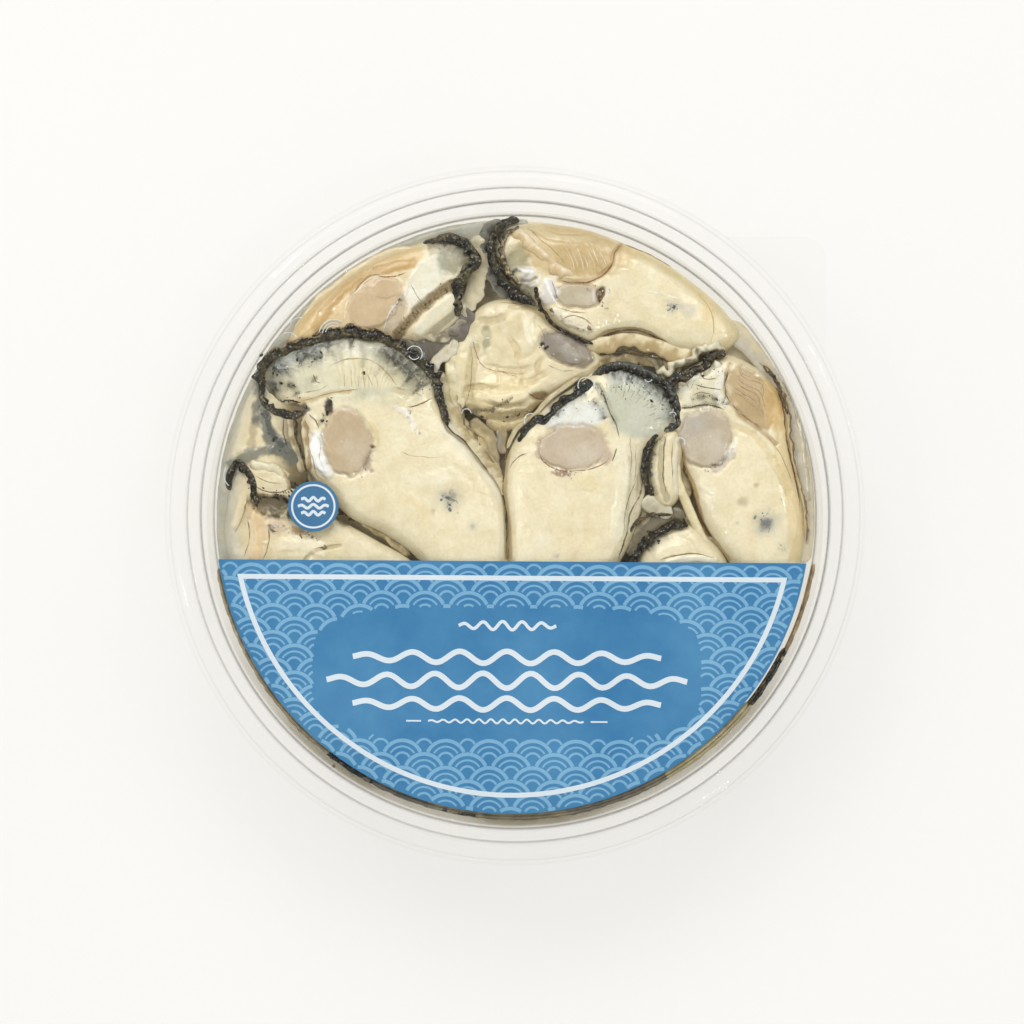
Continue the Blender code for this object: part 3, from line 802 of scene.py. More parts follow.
def ribbon(name, points, width, thick, z, inner, outer, ruffle=(0.0, 3.0), bead=(0.0, 1.6), look=None,
           seed=0, mottle=0.4, side=1, taper=0.12, sections=14, fog=1.0):
    """A flattened, lobed band along a path, coloured from its inner to its outer side.

    Ruffle and bead are a size and a length; without a look it is a dark mantle fringe.
    """
    thick *= 0.75
    if look is None:
        width *= 0.9
    spacing = 0.2 if look is None else 0.3
    path = smooth_path(points, spacing=spacing)
    count = len(path)
    across = across_path(path) * side
    length = np.arange(count) * spacing
    zero = np.zeros(count)
    t = np.linspace(0, 1, count)
    size = np.clip(np.minimum(t, 1 - t) / taper, 0.0, 1.0)
    size = np.sqrt(np.clip(1 - (1 - size) ** 2, 0, 1)) * 0.97 + 0.03
    wave = 1.5 * noise(length, zero, 0, ruffle[1] * 0.62, seed, 2)
    rise = 1.5 * noise(length, zero + 9.0, 0, ruffle[1] * 0.62, seed + 1, 2)
    lobe = 1 + 2.2 * bead[0] * noise(length, zero, 4, bead[1] * 0.7, seed + 2, 2)
    level = np.interp(t, np.linspace(0, 1, len(z)), z) if isinstance(z, list) else np.full(count, float(z))
    phi = np.linspace(0, FULL_TURN, sections, endpoint=False)
    a = np.cos(phi)[None, :]
    b = np.sin(phi)[None, :]
    half = width / 2 * size[:, None] * (1 + 0.15 * wave[:, None])
    outward = np.where(a > 0.1, lobe[:, None], 1.0)
    shift = ruffle[0] * wave[:, None] * size[:, None]
    x = (path[:, :1] + across[:, :1] * (a * half * outward + shift)).ravel()
    y = (path[:, 1:2] + across[:, 1:2] * (a * half * outward + shift)).ravel()
    height = (level[:, None] + b * thick / 2 * size[:, None] * outward + 0.6 * ruffle[0] * rise[:, None]).ravel()
    height = np.minimum(height + 0.2 * noise(x, y, height, 1.1, seed + 4, 3), UNDER_LID)
    x, y = keep_inside(x, y, height)
    place_across = np.repeat(a, count, axis=0).ravel()
    blotch = noise(x, y, height, 1.5, seed + 6, 3)
    tint = blended(np.array(linear(inner)), step(place_across + mottle * 2.2 * blotch, -0.75, 0.35), linear(outer))
    if look is None:
        clump = noise(x, y, height * 2, 1.0, seed + 7, 2)
        for sign, low, high, tone, strength in ((1, 0.1, 0.35, (70, 64, 44), 0.6), (1, 0.42, 0.6, (150, 142, 114), 0.3),
                                                (-1, 0.1, 0.35, DARK, 0.85)):
            tint = blended(tint, step(clump * sign, low, high) * strength, linear(tone))
    else:
        tint = blended(tint, step(np.abs(place_across) + 0.4 * blotch, 0.7, 1.0) * 0.35, linear((160, 142, 100)))
    faces = grid_faces(count, sections, flip=side > 0)
    caps = [list(range(sections)), list(range((count - 1) * sections, count * sections))[::-1]]
    faces += caps if side > 0 else [cap[::-1] for cap in caps]
    return make_mesh(name, np.column_stack([x, y, height]), faces, look or FRINGE, murky(height, tint, fog))


OUTLINES = {
    "left": [(-54.2, 27.6), (-52.9, 33.6), (-46.1, 37.4), (-36.4, 39.3), (-26.4, 37.8), (-18.7, 32.3),
             (-15.3, 22.9), (-8.9, 14.3), (-3.3, 6.4), (-1.4, -2.8), (-2.0, -12.4), (-7.6, -20.3),
             (-15.1, -17.7), (-20.8, -9.2), (-27.9, -3.8), (-35.4, -0.2), (-40.7, 5.3), (-44.8, 11.1),
             (-45.2, 18.6), (-47.8, 22.4)],
    "middle": [(-1.4, -11.3), (-1.6, -1.1), (-2.7, 6.6), (-1.6, 13.2), (1.8, 19.2), (6.3, 23.9),
               (12.7, 28.0), (18.1, 31.8), (24.9, 32.3), (31.7, 28.0), (35.2, 21.2), (32.6, 17.7),
               (28.7, 13.9), (28.1, 6.0), (26.2, -1.5), (22.3, -10.3), (15.9, -17.7), (6.9, -19.0),
               (0.5, -16.5)],
    "right": [(32.6, 25.0), (34.3, 29.9), (39.4, 33.1), (45.8, 34.8), (52.7, 31.4), (57.2, 26.3),
              (58.9, 18.6), (60.4, 9.0), (62.3, 0.4), (62.1, -7.1), (58.7, -15.6), (51.2, -17.7),
              (45.8, -9.8), (40.5, -1.3), (37.7, 6.8), (35.2, 14.3), (33.0, 19.7)],
    "left_side": [(-63.4, 5.0), (-62.6, 12.0), (-60.6, 19.0), (-57.6, 25.6), (-54.6, 30.6), (-50.0, 30.0),
                  (-45.0, 26.0),
                  (-42.0, 20.0), (-42.0, 12.0), (-45.0, 7.0), (-50.0, 5.0), (-57.0, 3.0)],
    "middle_side": [(34.4, 18.8), (30.8, 17.0), (28.6, 12.0), (28.8, 7.0), (30.6, 2.6), (33.4, 2.0), (35.6, 5.0),
                    (35.4, 10.0), (36.0, 15.0)],
    "top_right": [(-4.6, 59.2), (-0.7, 62.5), (6.3, 63.0), (14.9, 61.8), (22.8, 59.0), (30.9, 55.3),
                  (38.8, 49.8), (45.0, 44.2), (48.2, 38.6), (43.0, 34.9), (36.0, 35.6), (31.7, 36.8), (26.6, 39.3),
                  (20.6, 39.1), (15.9, 37.2), (9.5, 40.4), (4.2, 45.7), (-1.6, 49.4), (-5.0, 54.5)],
    "top_left": [(-48.2, 36.8), (-46.1, 42.5), (-39.6, 48.9), (-32.2, 54.5), (-23.6, 57.9), (-15.1, 59.8),
                 (-8.0, 56.0), (-11.0, 49.6), (-11.9, 42.5), (-18.3, 37.8), (-29.0, 38.3), (-38.6, 38.3)],
    "back": [(-10.6, 40.0), (-8.0, 44.7), (-3.3, 46.8), (3.1, 46.4), (8.7, 41.7), (17.2, 36.5),
             (18.1, 31.8), (12.1, 28.4), (6.3, 25.0), (1.0, 20.7), (-5.9, 20.7), (-11.4, 24.1),
             (-14.0, 29.3), (-14.4, 35.3)],
    "low_left": [(-60.6, 10.0), (-55.0, 11.8), (-48.2, 10.0), (-44.8, 5.3), (-37.5, -0.6), (-30.0, -4.9),
                 (-21.5, -10.3), (-20.4, -17.7), (-31.1, -26.3), (-46.1, -24.1), (-57.8, -15.6),
                 (-62.3, -6.0), (-61.9, 2.6)],
    "low_middle": [(25.3, -12.4), (27.0, -6.0), (31.7, -2.6), (37.3, -1.5), (42.0, -4.9), (45.8, -10.3),
                   (45.4, -17.7), (37.3, -22.0), (28.7, -19.9)],
    "under_left": [(-56.0, -24.0), (-45.0, -21.0), (-30.0, -24.0), (-18.0, -30.0), (-12.0, -42.0),
                   (-17.0, -55.0), (-28.0, -56.5), (-40.0, -48.5), (-51.0, -36.0)],
    "under_middle": [(-14.0, -24.0), (0.0, -20.0), (14.0, -22.0), (21.0, -30.0), (23.0, -44.0),
                     (18.0, -56.0), (4.0, -61.5), (-10.0, -61.0), (-16.0, -52.0), (-17.0, -36.0)],
    "under_right": [(22.0, -22.0), (36.0, -20.0), (52.0, -21.0), (58.0, -23.0), (54.0, -32.0),
                    (49.0, -39.0), (40.0, -48.5), (28.0, -56.0), (20.0, -57.0), (20.0, -42.0)],
}


def left_oyster():
    body = Body("oyster_left", OUTLINES["left"], (-27, 13), 31.5, 28.6, 7.5, 400, 84, seed=11)
    head = body.blob(-34.5, 31.5, 19.5, 8.2, -4, (226, 224, 198), 0.7, 0.1, 0.3, 0.25)
    body.paint(head * step(noise(body.x, body.y, 0, 4.0, 71, 3), 0.05, 0.5) * 0.5, (190, 190, 166))
    body.fan((-33, 14), head, 50, (200, 194, 160), 0.12, 0.03)
    gill = body.blob(-31.6, 30.4, 8.4, 3.6, -8, (238, 226, 186), 0.6, 0.2, 0.5)
    body.fan((-33, 12), gill, 150, (200, 186, 144), 0.32, 0.05, 0.5)
    body.fan((-33, 12), gill * step(noise(body.x, body.y, 0, 4.0, 74, 2), -0.1, 0.3), 110, (252, 248, 232), 0.35,
             0.04, 0.6)
    body.thread([(-40.6, 31.4), (-37.4, 33.2), (-33.6, 33.8), (-30.4, 33.2), (-27.8, 31.0), (-24.8, 27.4)], 0.13,
                (176, 150, 96), 0.6)
    body.stroke([(-46.6, 24.9), (-43.0, 25.0), (-39.4, 26.4), (-35.6, 26.6)], 0.6, (196, 168, 108), 0.55, -0.2, 0.8)
    body.thread([(-46.9, 24.6), (-43.6, 25.2), (-40.2, 26.2), (-35.8, 27.0), (-33.2, 27.2)], 0.14, (166, 132, 72), 0.6)
    body.blob(-42.9, 29.3, 0.7, 1.2, -30, (128, 118, 84), 0.7, -0.3, 0.4, 0.5)
    body.thread([(-43.4, 30.4), (-42.6, 29.0), (-41.6, 28.6)], 0.16, (120, 108, 72), 0.5)
    body.blob(-42.0, 13.6, 2.0, 4.9, 10, (250, 250, 246), 0.9, 0.5, 0.2, 0.5)
    body.blob(-40.8, 10.4, 1.6, 2.6, 20, (250, 250, 246), 0.8, 0.4, 0.3, 0.6)
    body.thread([(-43.8, 18.4), (-44.2, 15.0), (-43.2, 12.0), (-42.4, 8.8), (-40.4, 7.6)], 0.16, (170, 156, 124), 0.5)
    body.thread([(-42.6, 17.6), (-41.6, 15.4), (-42.0, 12.4), (-40.8, 10.0)], 0.1, (186, 178, 158), 0.6)
    body.muscle(-36.1, 15.8, 5.1, 7.0, 6, ROSE)
    body.stroke([(-30.8, 20.0), (-29.6, 17.4), (-29.8, 14.4)], 0.5, (226, 208, 160), 0.6, 0.2, 0.6)
    body.blob(-31.2, 11.6, 1.5, 2.2, -20, (176, 158, 134), 0.8, -0.25, 0.5, 1.0)
    body.blob(-32.6, 9.4, 1.3, 0.9, 40, (206, 190, 164), 0.6, -0.2, 0.5, 1.0)
    # Brown flakes by the muscle; the near-white ones are painted glints.
    body.flecks([(-30.6, 15.4), (-31.0, 12.6), (-32.0, 10.0), (-33.4, 8.4)], 0.8, 34, (0.1, 0.28), (96, 76, 60),
                (236, 226, 204), 7)
    body.blob(-30.5, 14.9, 0.55, 0.45, 0, (86, 62, 44), 0.9, -0.2, 0.4)
    body.blob(-39.9, 23.5, 0.9, 1.5, -12, (48, 42, 30), 0.95, -0.9, 0.3, 0.6)
    body.flecks([(-39.4, 25.0), (-40.2, 23.0), (-41.2, 20.6)], 0.5, 30, (0.12, 0.34), seed=8)
    body.blob(-41.3, 20.5, 0.8, 2.4, -28, (150, 135, 90), 0.55, -0.4, 0.4, 0.4)
    body.blob(-47.8, 22.8, 2.9, 1.6, 12, (122, 112, 92), 0.95, -0.9, 0.2, 0.3)
    body.flecks([(-51.0, 24.6), (-48.4, 24.8), (-46.0, 24.0), (-44.4, 23.2)], 0.6, 50, (0.1, 0.3), seed=27)
    body.thread([(-50.8, 24.6), (-48.2, 24.9), (-45.6, 24.2)], 0.26, (80, 64, 34), 0.5)
    body.thread([(-44.2, 22.0), (-42.8, 20.6), (-42.0, 18.8)], 0.2, (120, 100, 60), 0.5)
    body.thread([(-45.4, 26.6), (-42.4, 27.0), (-40.0, 28.2)], 0.12, (170, 160, 128), 0.6)
    body.stroke([(-52.0, 26.4), (-52.2, 23.8), (-50.0, 22.0), (-46.8, 21.2), (-44.6, 22.8)], 0.6, (58, 48, 30), 0.9,
                -0.3, 0.7)
    body.thread([(-23.4, 23.5), (-21.4, 23.6), (-19.6, 24.4), (-17.8, 25.3)], 0.17, (130, 98, 48), 0.4)
    for near, far, up in ((0.0, 0.6, 30.6), (1.6, 1.9, 31.4), (3.1, 3.0, 30.2), (4.4, 4.1, 31.8), (6.0, 5.1, 30.8),
                          (7.3, 6.5, 31.2)):
        body.thread([(-36.6 + near, 27.6), (-36.8 + 0.8 * near + 0.2 * far, 29.2), (-37.0 + far, up)], 0.09,
                    (196, 180, 136), 0.8)
    body.stroke([(-27.6, 27.2), (-24.6, 26.6), (-21.6, 24.6)], 0.7, (206, 188, 140), 0.5, -0.25, 0.9, 0.3)
    # Painted highlight: a white streak of wet sheen, with white flecks as painted glints.
    body.stroke([(-26.4, 23.6), (-23.8, 22.4), (-22.4, 20.4), (-20.6, 17.2)], 0.45, (252, 250, 244), 0.7, 0.25, 1.2,
                0.2)
    body.flecks([(-26.4, 23.6), (-23.8, 22.4), (-22.4, 20.4), (-20.6, 17.2)], 0.5, 36, (0.1, 0.3), (255, 255, 252),
                (236, 226, 200), 31)
    body.thread([(-24.6, 13.9), (-21.5, 12.8), (-17.6, 12.6), (-15.0, 13.0)], 0.1, (206, 182, 124), 0.6)
    body.thread([(-26.0, 27.6), (-22.6, 27.0), (-19.6, 25.6)], 0.1, (190, 166, 110), 0.7)
    body.stroke([(-14.4, 18.6), (-12.0, 16.6), (-9.2, 14.0), (-7.2, 11.3), (-4.4, 8.1), (-2.6, 4.5)], 1.7,
                (236, 232, 216), 0.6, 0.15, 0.3)
    body.speck(-14.2, 3.7, 1.9, 1.0)
    body.speck(-9.1, -2.3, 0.8, 0.8)
    body.speck(-17.6, 1.0, 0.35, 0.9)
    body.stroke([(-25.0, 9.0), (-19.6, 7.4), (-13.6, 8.6), (-9.0, 6.0)], 1.5, (248, 240, 214), 0.4, 0.15, 0.9, 0.3)
    body.stroke([(-26.0, 4.4), (-21.0, 2.0), (-17.6, -2.4)], 1.3, (232, 216, 170), 0.4, -0.12, 0.9, 0.3)
    body.flecks([(-15.6, 4.4), (-14.0, 3.6), (-12.8, 3.0)], 0.9, 26, (0.1, 0.3), (96, 104, 108), (150, 156, 156), 9)
    body.fringe([(-52.6, 24.6), (-52.4, 27.6), (-51.6, 31.0), (-49.0, 33.6)], 1.5, DARK, (96, 92, 72), 1.0, 0.1, 9)
    edge = [(-53.6, 26.7), (-53.6, 31.6), (-50.6, 34.6), (-46.1, 36.5), (-40.7, 38.0), (-34.9, 38.7), (-29.0, 37.6),
            (-24.3, 35.2), (-20.4, 32.0), (-17.8, 28.2)]
    body.fringe(edge, 2.0, DARK, (104, 102, 82), 1.0, 0.2)
    body.fringe([(-50.6, 31.0), (-48.4, 33.4), (-45.4, 34.6), (-40.9, 34.8)], 1.4, (56, 56, 46), (120, 126, 118), 0.9,
                0.15, 1)
    body.fringe([(-50.8, 28.4), (-48.0, 28.0), (-46.6, 25.8)], 0.8, (70, 66, 46), (150, 146, 120), 0.8, 0.1, 12)
    body.flecks([(-49.6, 30.6), (-45.6, 32.4), (-40.6, 33.6)], 1.4, 90, (0.06, 0.22), (84, 80, 60), (196, 194, 170), 33)
    body.flecks([(-28.6, 35.4), (-24.8, 32.6), (-21.4, 28.6)], 1.3, 90, (0.06, 0.22), (76, 70, 48), (190, 186, 156), 34)
    body.fringe([(-29.4, 36.0), (-25.6, 33.4), (-22.0, 30.4), (-19.6, 27.2)], 1.6, (52, 48, 34), (130, 128, 100), 0.9,
                0.1, 3)
    body.stroke([(-17.4, 29.6), (-15.9, 24.6), (-14.6, 19.0), (-10.6, 15.6), (-7.2, 11.3), (-4.4, 8.1), (-2.5, 4.5),
                 (-1.9, -0.4), (-1.7, -9.0)], 0.5, (130, 112, 72), 0.7, -0.35, 0.5)
    body.thread([(-17.0, 29.6), (-15.6, 24.6), (-14.4, 19.2), (-10.7, 15.8), (-7.3, 11.5), (-4.5, 8.3), (-2.7, 4.7),
                 (-2.0, -0.4), (-1.8, -9.0)], 0.3, (62, 48, 26), 0.35)
    place(body.build())
    place(ribbon("oyster_left_fringe",
                 [(-54.0, 24.6), (-54.5, 28.0), (-54.0, 32.2), (-51.0, 34.9), (-46.3, 36.9), (-40.7, 38.6),
                  (-34.9, 39.3),
                  (-29.0, 38.5), (-24.3, 36.3), (-20.2, 33.2), (-17.2, 29.0), (-15.7, 23.9), (-14.4, 19.4)],
                 2.2, 1.5, [29.4, 30.2, 30.4, 30.6, 30.6, 30.4, 30.0], (88, 82, 60), DARK, (0.5, 3.1), (0.4, 1.5),
                 seed=3, side=1, mottle=0.7))
    place(ribbon("oyster_left_fringe_hook",
                 [(-54.2, 29.4), (-54.3, 26.4), (-53.2, 23.8), (-50.6, 22.5), (-47.8, 21.5), (-45.6, 22.4)], 1.9, 1.6,
                 [29.8, 29.8, 29.6, 29.6], (96, 90, 68), DARK, (0.35, 2.6), (0.35, 1.4), seed=14, side=1, mottle=0.7))
    place(ribbon("oyster_left_fringe_lip",
                 [(-53.6, 34.0), (-50.6, 36.0), (-46.3, 37.9), (-40.7, 39.9), (-34.9, 40.6), (-29.0, 39.7)],
                 1.0, 0.9, [29.6, 30.2, 30.4, 30.4], (60, 52, 36), (150, 132, 96), (0.45, 2.4), (0.3, 1.2), seed=4))
    place(ribbon("oyster_left_flap",
                 [(-16.4, 31.4), (-14.2, 27.0), (-12.9, 22.0), (-10.4, 17.6), (-7.0, 13.6), (-4.0, 9.6), (-2.2, 4.6)],
                 3.6, 1.0, [28.6, 29.0, 29.2, 29.0, 28.6], (228, 218, 184), (186, 168, 124), (0.4, 3.6),
                 (0.2, 2.6), look=FLESH, seed=5, mottle=0.9))
    place(ribbon("oyster_left_flap_edge",
                 [(-14.4, 31.0), (-12.6, 26.6), (-11.6, 21.8), (-9.2, 17.2), (-5.8, 13.0), (-3.4, 9.0)],
                 0.8, 0.9, [28.6, 29.2, 29.4, 29.2, 28.8], (206, 190, 148), (120, 102, 66), (0.4, 3.2), (0.3, 1.6),
                 look=FLESH, seed=15, mottle=0.9))
    place(ribbon("oyster_left_strip", [(-48.6, 21.4), (-47.6, 17.0), (-46.4, 12.8), (-45.7, 9.2)], 1.8, 1.3, 29.5,
                 (206, 196, 164), (150, 136, 100), (0.3, 4.0), look=FLESH, seed=6, mottle=0.5))
    place(ribbon("oyster_left_strip_line", [(-47.4, 20.8), (-46.9, 17.0), (-45.6, 13.0), (-44.9, 9.8)], 0.8, 0.9, 29.8,
                 (116, 98, 64), (70, 56, 34), (0.2, 3.0), (0.4, 1.4), seed=7))
    place(ribbon("oyster_left_inner_strip", [(-45.2, 20.8), (-45.3, 17.2), (-44.5, 13.6), (-44.3, 10.0)], 1.3, 1.1,
                 30.0,
                 (224, 212, 176), (170, 144, 98), (0.3, 3.0), look=FLESH, seed=8, mottle=0.5))
    side = Body("oyster_left_side", OUTLINES["left_side"], (-52, 16), 29.3, 27.6, 4.0, 230, 46, seed=13)
    side.paint(step(side.x, -53.0, -47.0), (138, 122, 88))
    side.paint(step(side.x, -50.0, -44.0) * 0.5, (96, 84, 56))
    rim_far = np.hypot(side.x, side.y)
    side.paint(step(rim_far, 60.0, 63.4) * 0.8, (190, 192, 182))
    # Painted highlight: a pale raised streak down the tan flap.
    side.stroke([(-56.6, 26.4), (-58.2, 20.0), (-60.0, 13.4)], 0.9, (240, 230, 200), 0.6, 0.3, 0.6)
    side.stroke([(-55.4, 24.0), (-56.0, 19.0), (-56.6, 15.4)], 1.0, (176, 160, 122), 0.6, -0.3, 0.6)
    side.stroke([(-54.4, 27.6), (-54.3, 23.0), (-53.0, 18.4), (-50.8, 15.0), (-47.4, 12.2)], 1.9, (96, 103, 98), 0.85,
                0.4, 1.0)
    side.stroke([(-50.6, 15.2), (-53.8, 14.2), (-57.4, 12.9), (-60.6, 11.0)], 1.5, (104, 110, 104), 0.8, 0.3, 1.0)
    side.stroke([(-53.6, 22.6), (-52.4, 18.6), (-50.2, 15.4)], 0.7, (70, 76, 76), 0.7, 0.1, 0.8)
    side.flecks([(-54.6, 24.0), (-52.8, 18.0), (-49.0, 13.6)], 1.0, 60, (0.1, 0.34), (60, 64, 62), (120, 124, 118), 30)
    side.thread([(-49.6, 21.4), (-49.8, 18.0), (-48.6, 14.6)], 0.2, (80, 66, 38), 0.5)
    place(side.build(fog=0.5))


def middle_oyster():
    body = Body("oyster_middle", OUTLINES["middle"], (13, 6), 31.5, 28.6, 7.5, 400, 84, seed=23)
    body.blob(13.1, 21.4, 7.2, 3.2, 8, (236, 238, 230), 0.95, 0.25, 0.25, 0.25)
    fan = body.blob(26.4, 24.2, 7.6, 8.0, 30, (207, 209, 189), 0.95, 0.15, 0.18, 0.12)
    body.fan((21.5, 17.5), fan, 64, (196, 198, 176), 0.18, 0.03)
    body.paint(fan * step(noise(body.x, body.y, 0, 3.5, 72, 3), 0.1, 0.5) * 0.4, (196, 202, 186))
    body.flecks([(20.3, 27.4), (23.6, 27.4), (27.4, 25.6), (30.2, 22.8)], 0.8, 60, (0.04, 0.13), (84, 88, 80),
                (140, 142, 126), 11)
    for turn, near, far in ((98, 9.2, 10.6), (93, 8.4, 9.6), (86, 8.2, 10.9), (79, 9.2, 10.4), (73, 7.4, 9.6),
                            (69, 9.0, 10.9),
                            (62, 8.2, 9.6), (57, 9.0, 11.0), (51, 7.8, 9.2), (46, 9.4, 10.6), (39, 8.2, 10.2),
                            (32, 9.4, 10.8),
                            (24, 8.6, 9.8), (17, 9.2, 10.8)):
        a = math.radians(turn)
        body.thread([(21.0 + near * math.cos(a), 18.0 + near * math.sin(a)),
                     (21.0 + far * math.cos(a), 18.0 + far * math.sin(a))],
                    0.07, (110, 114, 102), 0.6)
    body.stroke([(17.9, 27.9), (19.8, 24.0), (21.5, 20.1)], 0.8, (170, 168, 140), 0.6, -0.4, 0.5)
    body.thread([(17.9, 28.4), (19.2, 25.6), (20.2, 22.4), (21.6, 19.8), (22.4, 16.4)], 0.2, (90, 84, 56), 0.5)
    body.stroke([(22.0, 19.0), (23.0, 12.0), (22.8, 4.0), (21.4, -8.0)], 1.6, (244, 240, 214), 0.6, 0.35, 0.6, 0.2)
    body.stroke([(26.4, 17.0), (26.4, 10.0), (25.6, 3.0), (23.0, -5.0)], 1.9, (216, 208, 178), 0.8, -0.2, 0.6, 0.25)
    body.stroke([(27.4, 12.0), (27.0, 7.0), (26.2, 3.0)], 0.9, (178, 166, 132), 0.6, -0.2, 0.8, 0.3)
    body.thread([(24.6, 17.2), (24.9, 12.4), (24.4, 8.0)], 0.1, (170, 158, 122), 0.7)
    body.thread([(25.8, 14.6), (25.9, 10.6), (25.2, 6.6)], 0.1, (170, 158, 122), 0.7)
    body.thread([(27.6, 9.0), (26.6, 4.6), (24.6, 0.4), (23.6, -4.6), (22.0, -9.6)], 0.24, (112, 98, 62), 0.5)
    body.thread([(26.2, 8.0), (24.4, 4.0), (23.6, 0.0), (23.2, -4.0)], 0.14, (150, 136, 100), 0.5)
    body.muscle(12.4, 14.8, 7.6, 4.7, 3, ROSE_GREY, (150, 116, 80), 0.5)
    body.blob(5.6, 13.6, 1.4, 1.6, 30, ROSE_GREY, 0.9, 0.2, 0.3, 0.4)
    body.blob(19.4, 13.0, 1.5, 2.0, 0, ROSE_GREY, 0.9, 0.2, 0.3, 0.5)
    body.thread([(5.0, 14.6), (6.0, 12.0), (8.4, 10.2), (12.0, 9.6), (16.0, 10.0), (19.6, 11.6), (20.6, 14.4)], 0.14,
                (140, 104, 66), 0.8)
    body.blob(10.1, 9.2, 2.7, 1.0, -4, (178, 146, 120), 0.95, 0.25, 0.3, 1.0)
    # Brown crust flakes; the near-white ones are painted glints.
    body.flecks([(7.6, 9.6), (10.2, 9.2), (12.8, 8.9)], 0.5, 46, (0.1, 0.32), (120, 86, 62), (250, 240, 224), 12)
    body.blob(15.0, 7.6, 3.4, 2.0, -30, (244, 230, 184), 0.5, 0.2, 0.5, 0.4)
    body.thread([(21.8, 14.6), (21.4, 13.0), (20.9, 11.6)], 0.16, BROWN, 0.4)
    body.thread([(2.6, 13.5), (1.0, 12.8), (-0.4, 11.4), (-1.2, 9.9)], 0.14, (128, 104, 62), 0.5)
    body.speck(8.9, -8.6, 0.7, 0.7)
    body.fringe([(17.0, 29.0), (18.6, 26.6), (19.2, 24.2)], 0.5, (70, 70, 54), (168, 168, 146), 0.7, 0.1, 17)
    body.stroke([(4.4, 2.0), (5.6, -3.4), (5.2, -8.0)], 1.6, (248, 240, 214), 0.4, 0.15, 0.9, 0.3)
    body.stroke([(14.6, 2.4), (15.8, -3.0), (14.8, -8.4)], 1.2, (232, 216, 170), 0.4, -0.12, 0.9, 0.3)
    body.stroke([(-1.2, 16.0), (-1.9, 12.0), (-2.3, 5.7), (-1.5, -2.4), (-1.2, -9.3)], 0.6, (176, 152, 104), 0.7,
                -0.2, 0.5)
    body.thread([(-0.6, 17.6), (-1.6, 14.4), (-2.2, 9.7), (-2.4, 5.7), (-1.6, -2.4), (-1.3, -9.6)], 0.26,
                (104, 76, 38), 0.4)
    edge = [(18.3, 30.6), (21.5, 31.6), (25.7, 31.0), (29.9, 28.9), (33.1, 25.8), (34.0, 22.0), (33.2, 19.4)]
    body.fringe(edge, 1.8, DARK, (88, 96, 92), 1.0, 0.2, 5)
    body.flecks([(21.6, 29.6), (26.0, 28.6), (30.0, 26.4), (31.8, 22.6)], 0.9, 70, (0.06, 0.2), (60, 64, 58),
                (170, 174, 156), 35)
    body.fringe([(5.4, 19.6), (8.4, 22.6), (12.0, 25.0), (15.6, 26.4)], 0.9, (48, 50, 46), (146, 152, 146), 0.9, 0.1, 6)
    body.fringe([(16.4, 25.0), (18.2, 23.2), (19.2, 20.6)], 0.6, DARK, (150, 150, 136), 0.8, 0.1, 7)
    place(body.build())
    place(ribbon("oyster_middle_fringe",
                 [(16.6, 30.0), (19.4, 31.9), (22.5, 32.3), (25.9, 31.7), (30.2, 29.5), (33.5, 26.3), (34.9, 22.6),
                  (34.2, 19.6), (31.6, 18.4)], 2.1, 1.6, [29.8, 30.7, 30.9, 30.6, 30.0], (84, 90, 88), DARK,
                 (0.3, 2.6), (0.35, 1.5), seed=8, side=-1, mottle=0.5))
    place(ribbon("oyster_middle_roll",
                 [(1.0, 15.2), (2.2, 18.4), (4.4, 20.6), (6.4, 20.4), (8.6, 23.0), (11.3, 25.2), (13.7, 26.9),
                  (15.8, 28.4)],
                 1.9, 1.7, [29.4, 30.2, 30.6, 31.0, 30.8], (84, 88, 84), DARK, (0.3, 3.0), (0.25, 1.6), seed=9,
                 taper=0.2))
    place(ribbon("oyster_middle_knob", [(12.6, 26.6), (14.6, 27.7), (16.8, 28.6)], 3.4, 2.4, 30.6,
                 (60, 68, 68), (30, 34, 32), (0.1, 3.0), (0.2, 1.4), seed=10, taper=0.5))
    place(ribbon("oyster_middle_edge",
                 [(-1.8, 14.6), (-0.2, 18.0), (2.4, 20.6), (4.2, 22.0), (6.6, 24.6), (9.6, 27.0), (13.7, 29.8)], 1.1,
                 1.0,
                 [28.8, 29.6, 30.2, 29.8], (226, 218, 188), (196, 180, 136), (0.25, 4.0), look=FLESH, seed=12,
                 mottle=0.3))
    place(ribbon("oyster_middle_pocket", [(16.9, 24.6), (18.0, 23.4), (18.8, 21.8), (19.2, 20.2)], 1.2, 1.0, 31.1,
                 (120, 124, 122), DARK, (0.2, 1.8), (0.4, 0.8), seed=14, taper=0.3))
    side = Body("oyster_middle_side", OUTLINES["middle_side"], (32.2, 9.6), 30.7, 28.8, 2.6, 170, 40, seed=29)
    side.paint(step(side.x, 30.0, 35.5) * 0.4, (226, 214, 176))
    side.stroke([(31.6, 16.6), (31.4, 12.0), (31.4, 7.6), (32.6, 3.6)], 0.7, (190, 180, 146), 0.8, -0.4, 0.6)
    side.thread([(32.4, 17.2), (32.0, 13.6), (31.8, 9.4), (32.4, 4.8)], 0.2, (96, 82, 52), 0.5)
    side.thread([(33.9, 16.0), (33.6, 12.0), (33.8, 8.0)], 0.12, (150, 136, 98), 0.6)
    side.stroke([(34.8, 16.6), (34.4, 12.4), (34.4, 8.0), (34.8, 5.0)], 0.5, PALE, 0.4, 0.1, 0.9)
    side.fringe([(31.2, 17.4), (29.2, 13.0), (29.0, 8.0), (30.4, 4.0)], 0.6, DARK, (140, 132, 100), 0.9, 0.1)
    place(side.build())
    place(ribbon("oyster_middle_side_fringe",
                 [(31.6, 18.9), (29.0, 16.0), (27.8, 12.2), (27.8, 8.5), (29.0, 5.6), (30.2, 3.6)], 1.5, 1.4,
                 [30.0, 30.4, 30.2, 29.2], (56, 46, 30), DARK, (0.3, 2.0), (0.35, 1.0), seed=16))


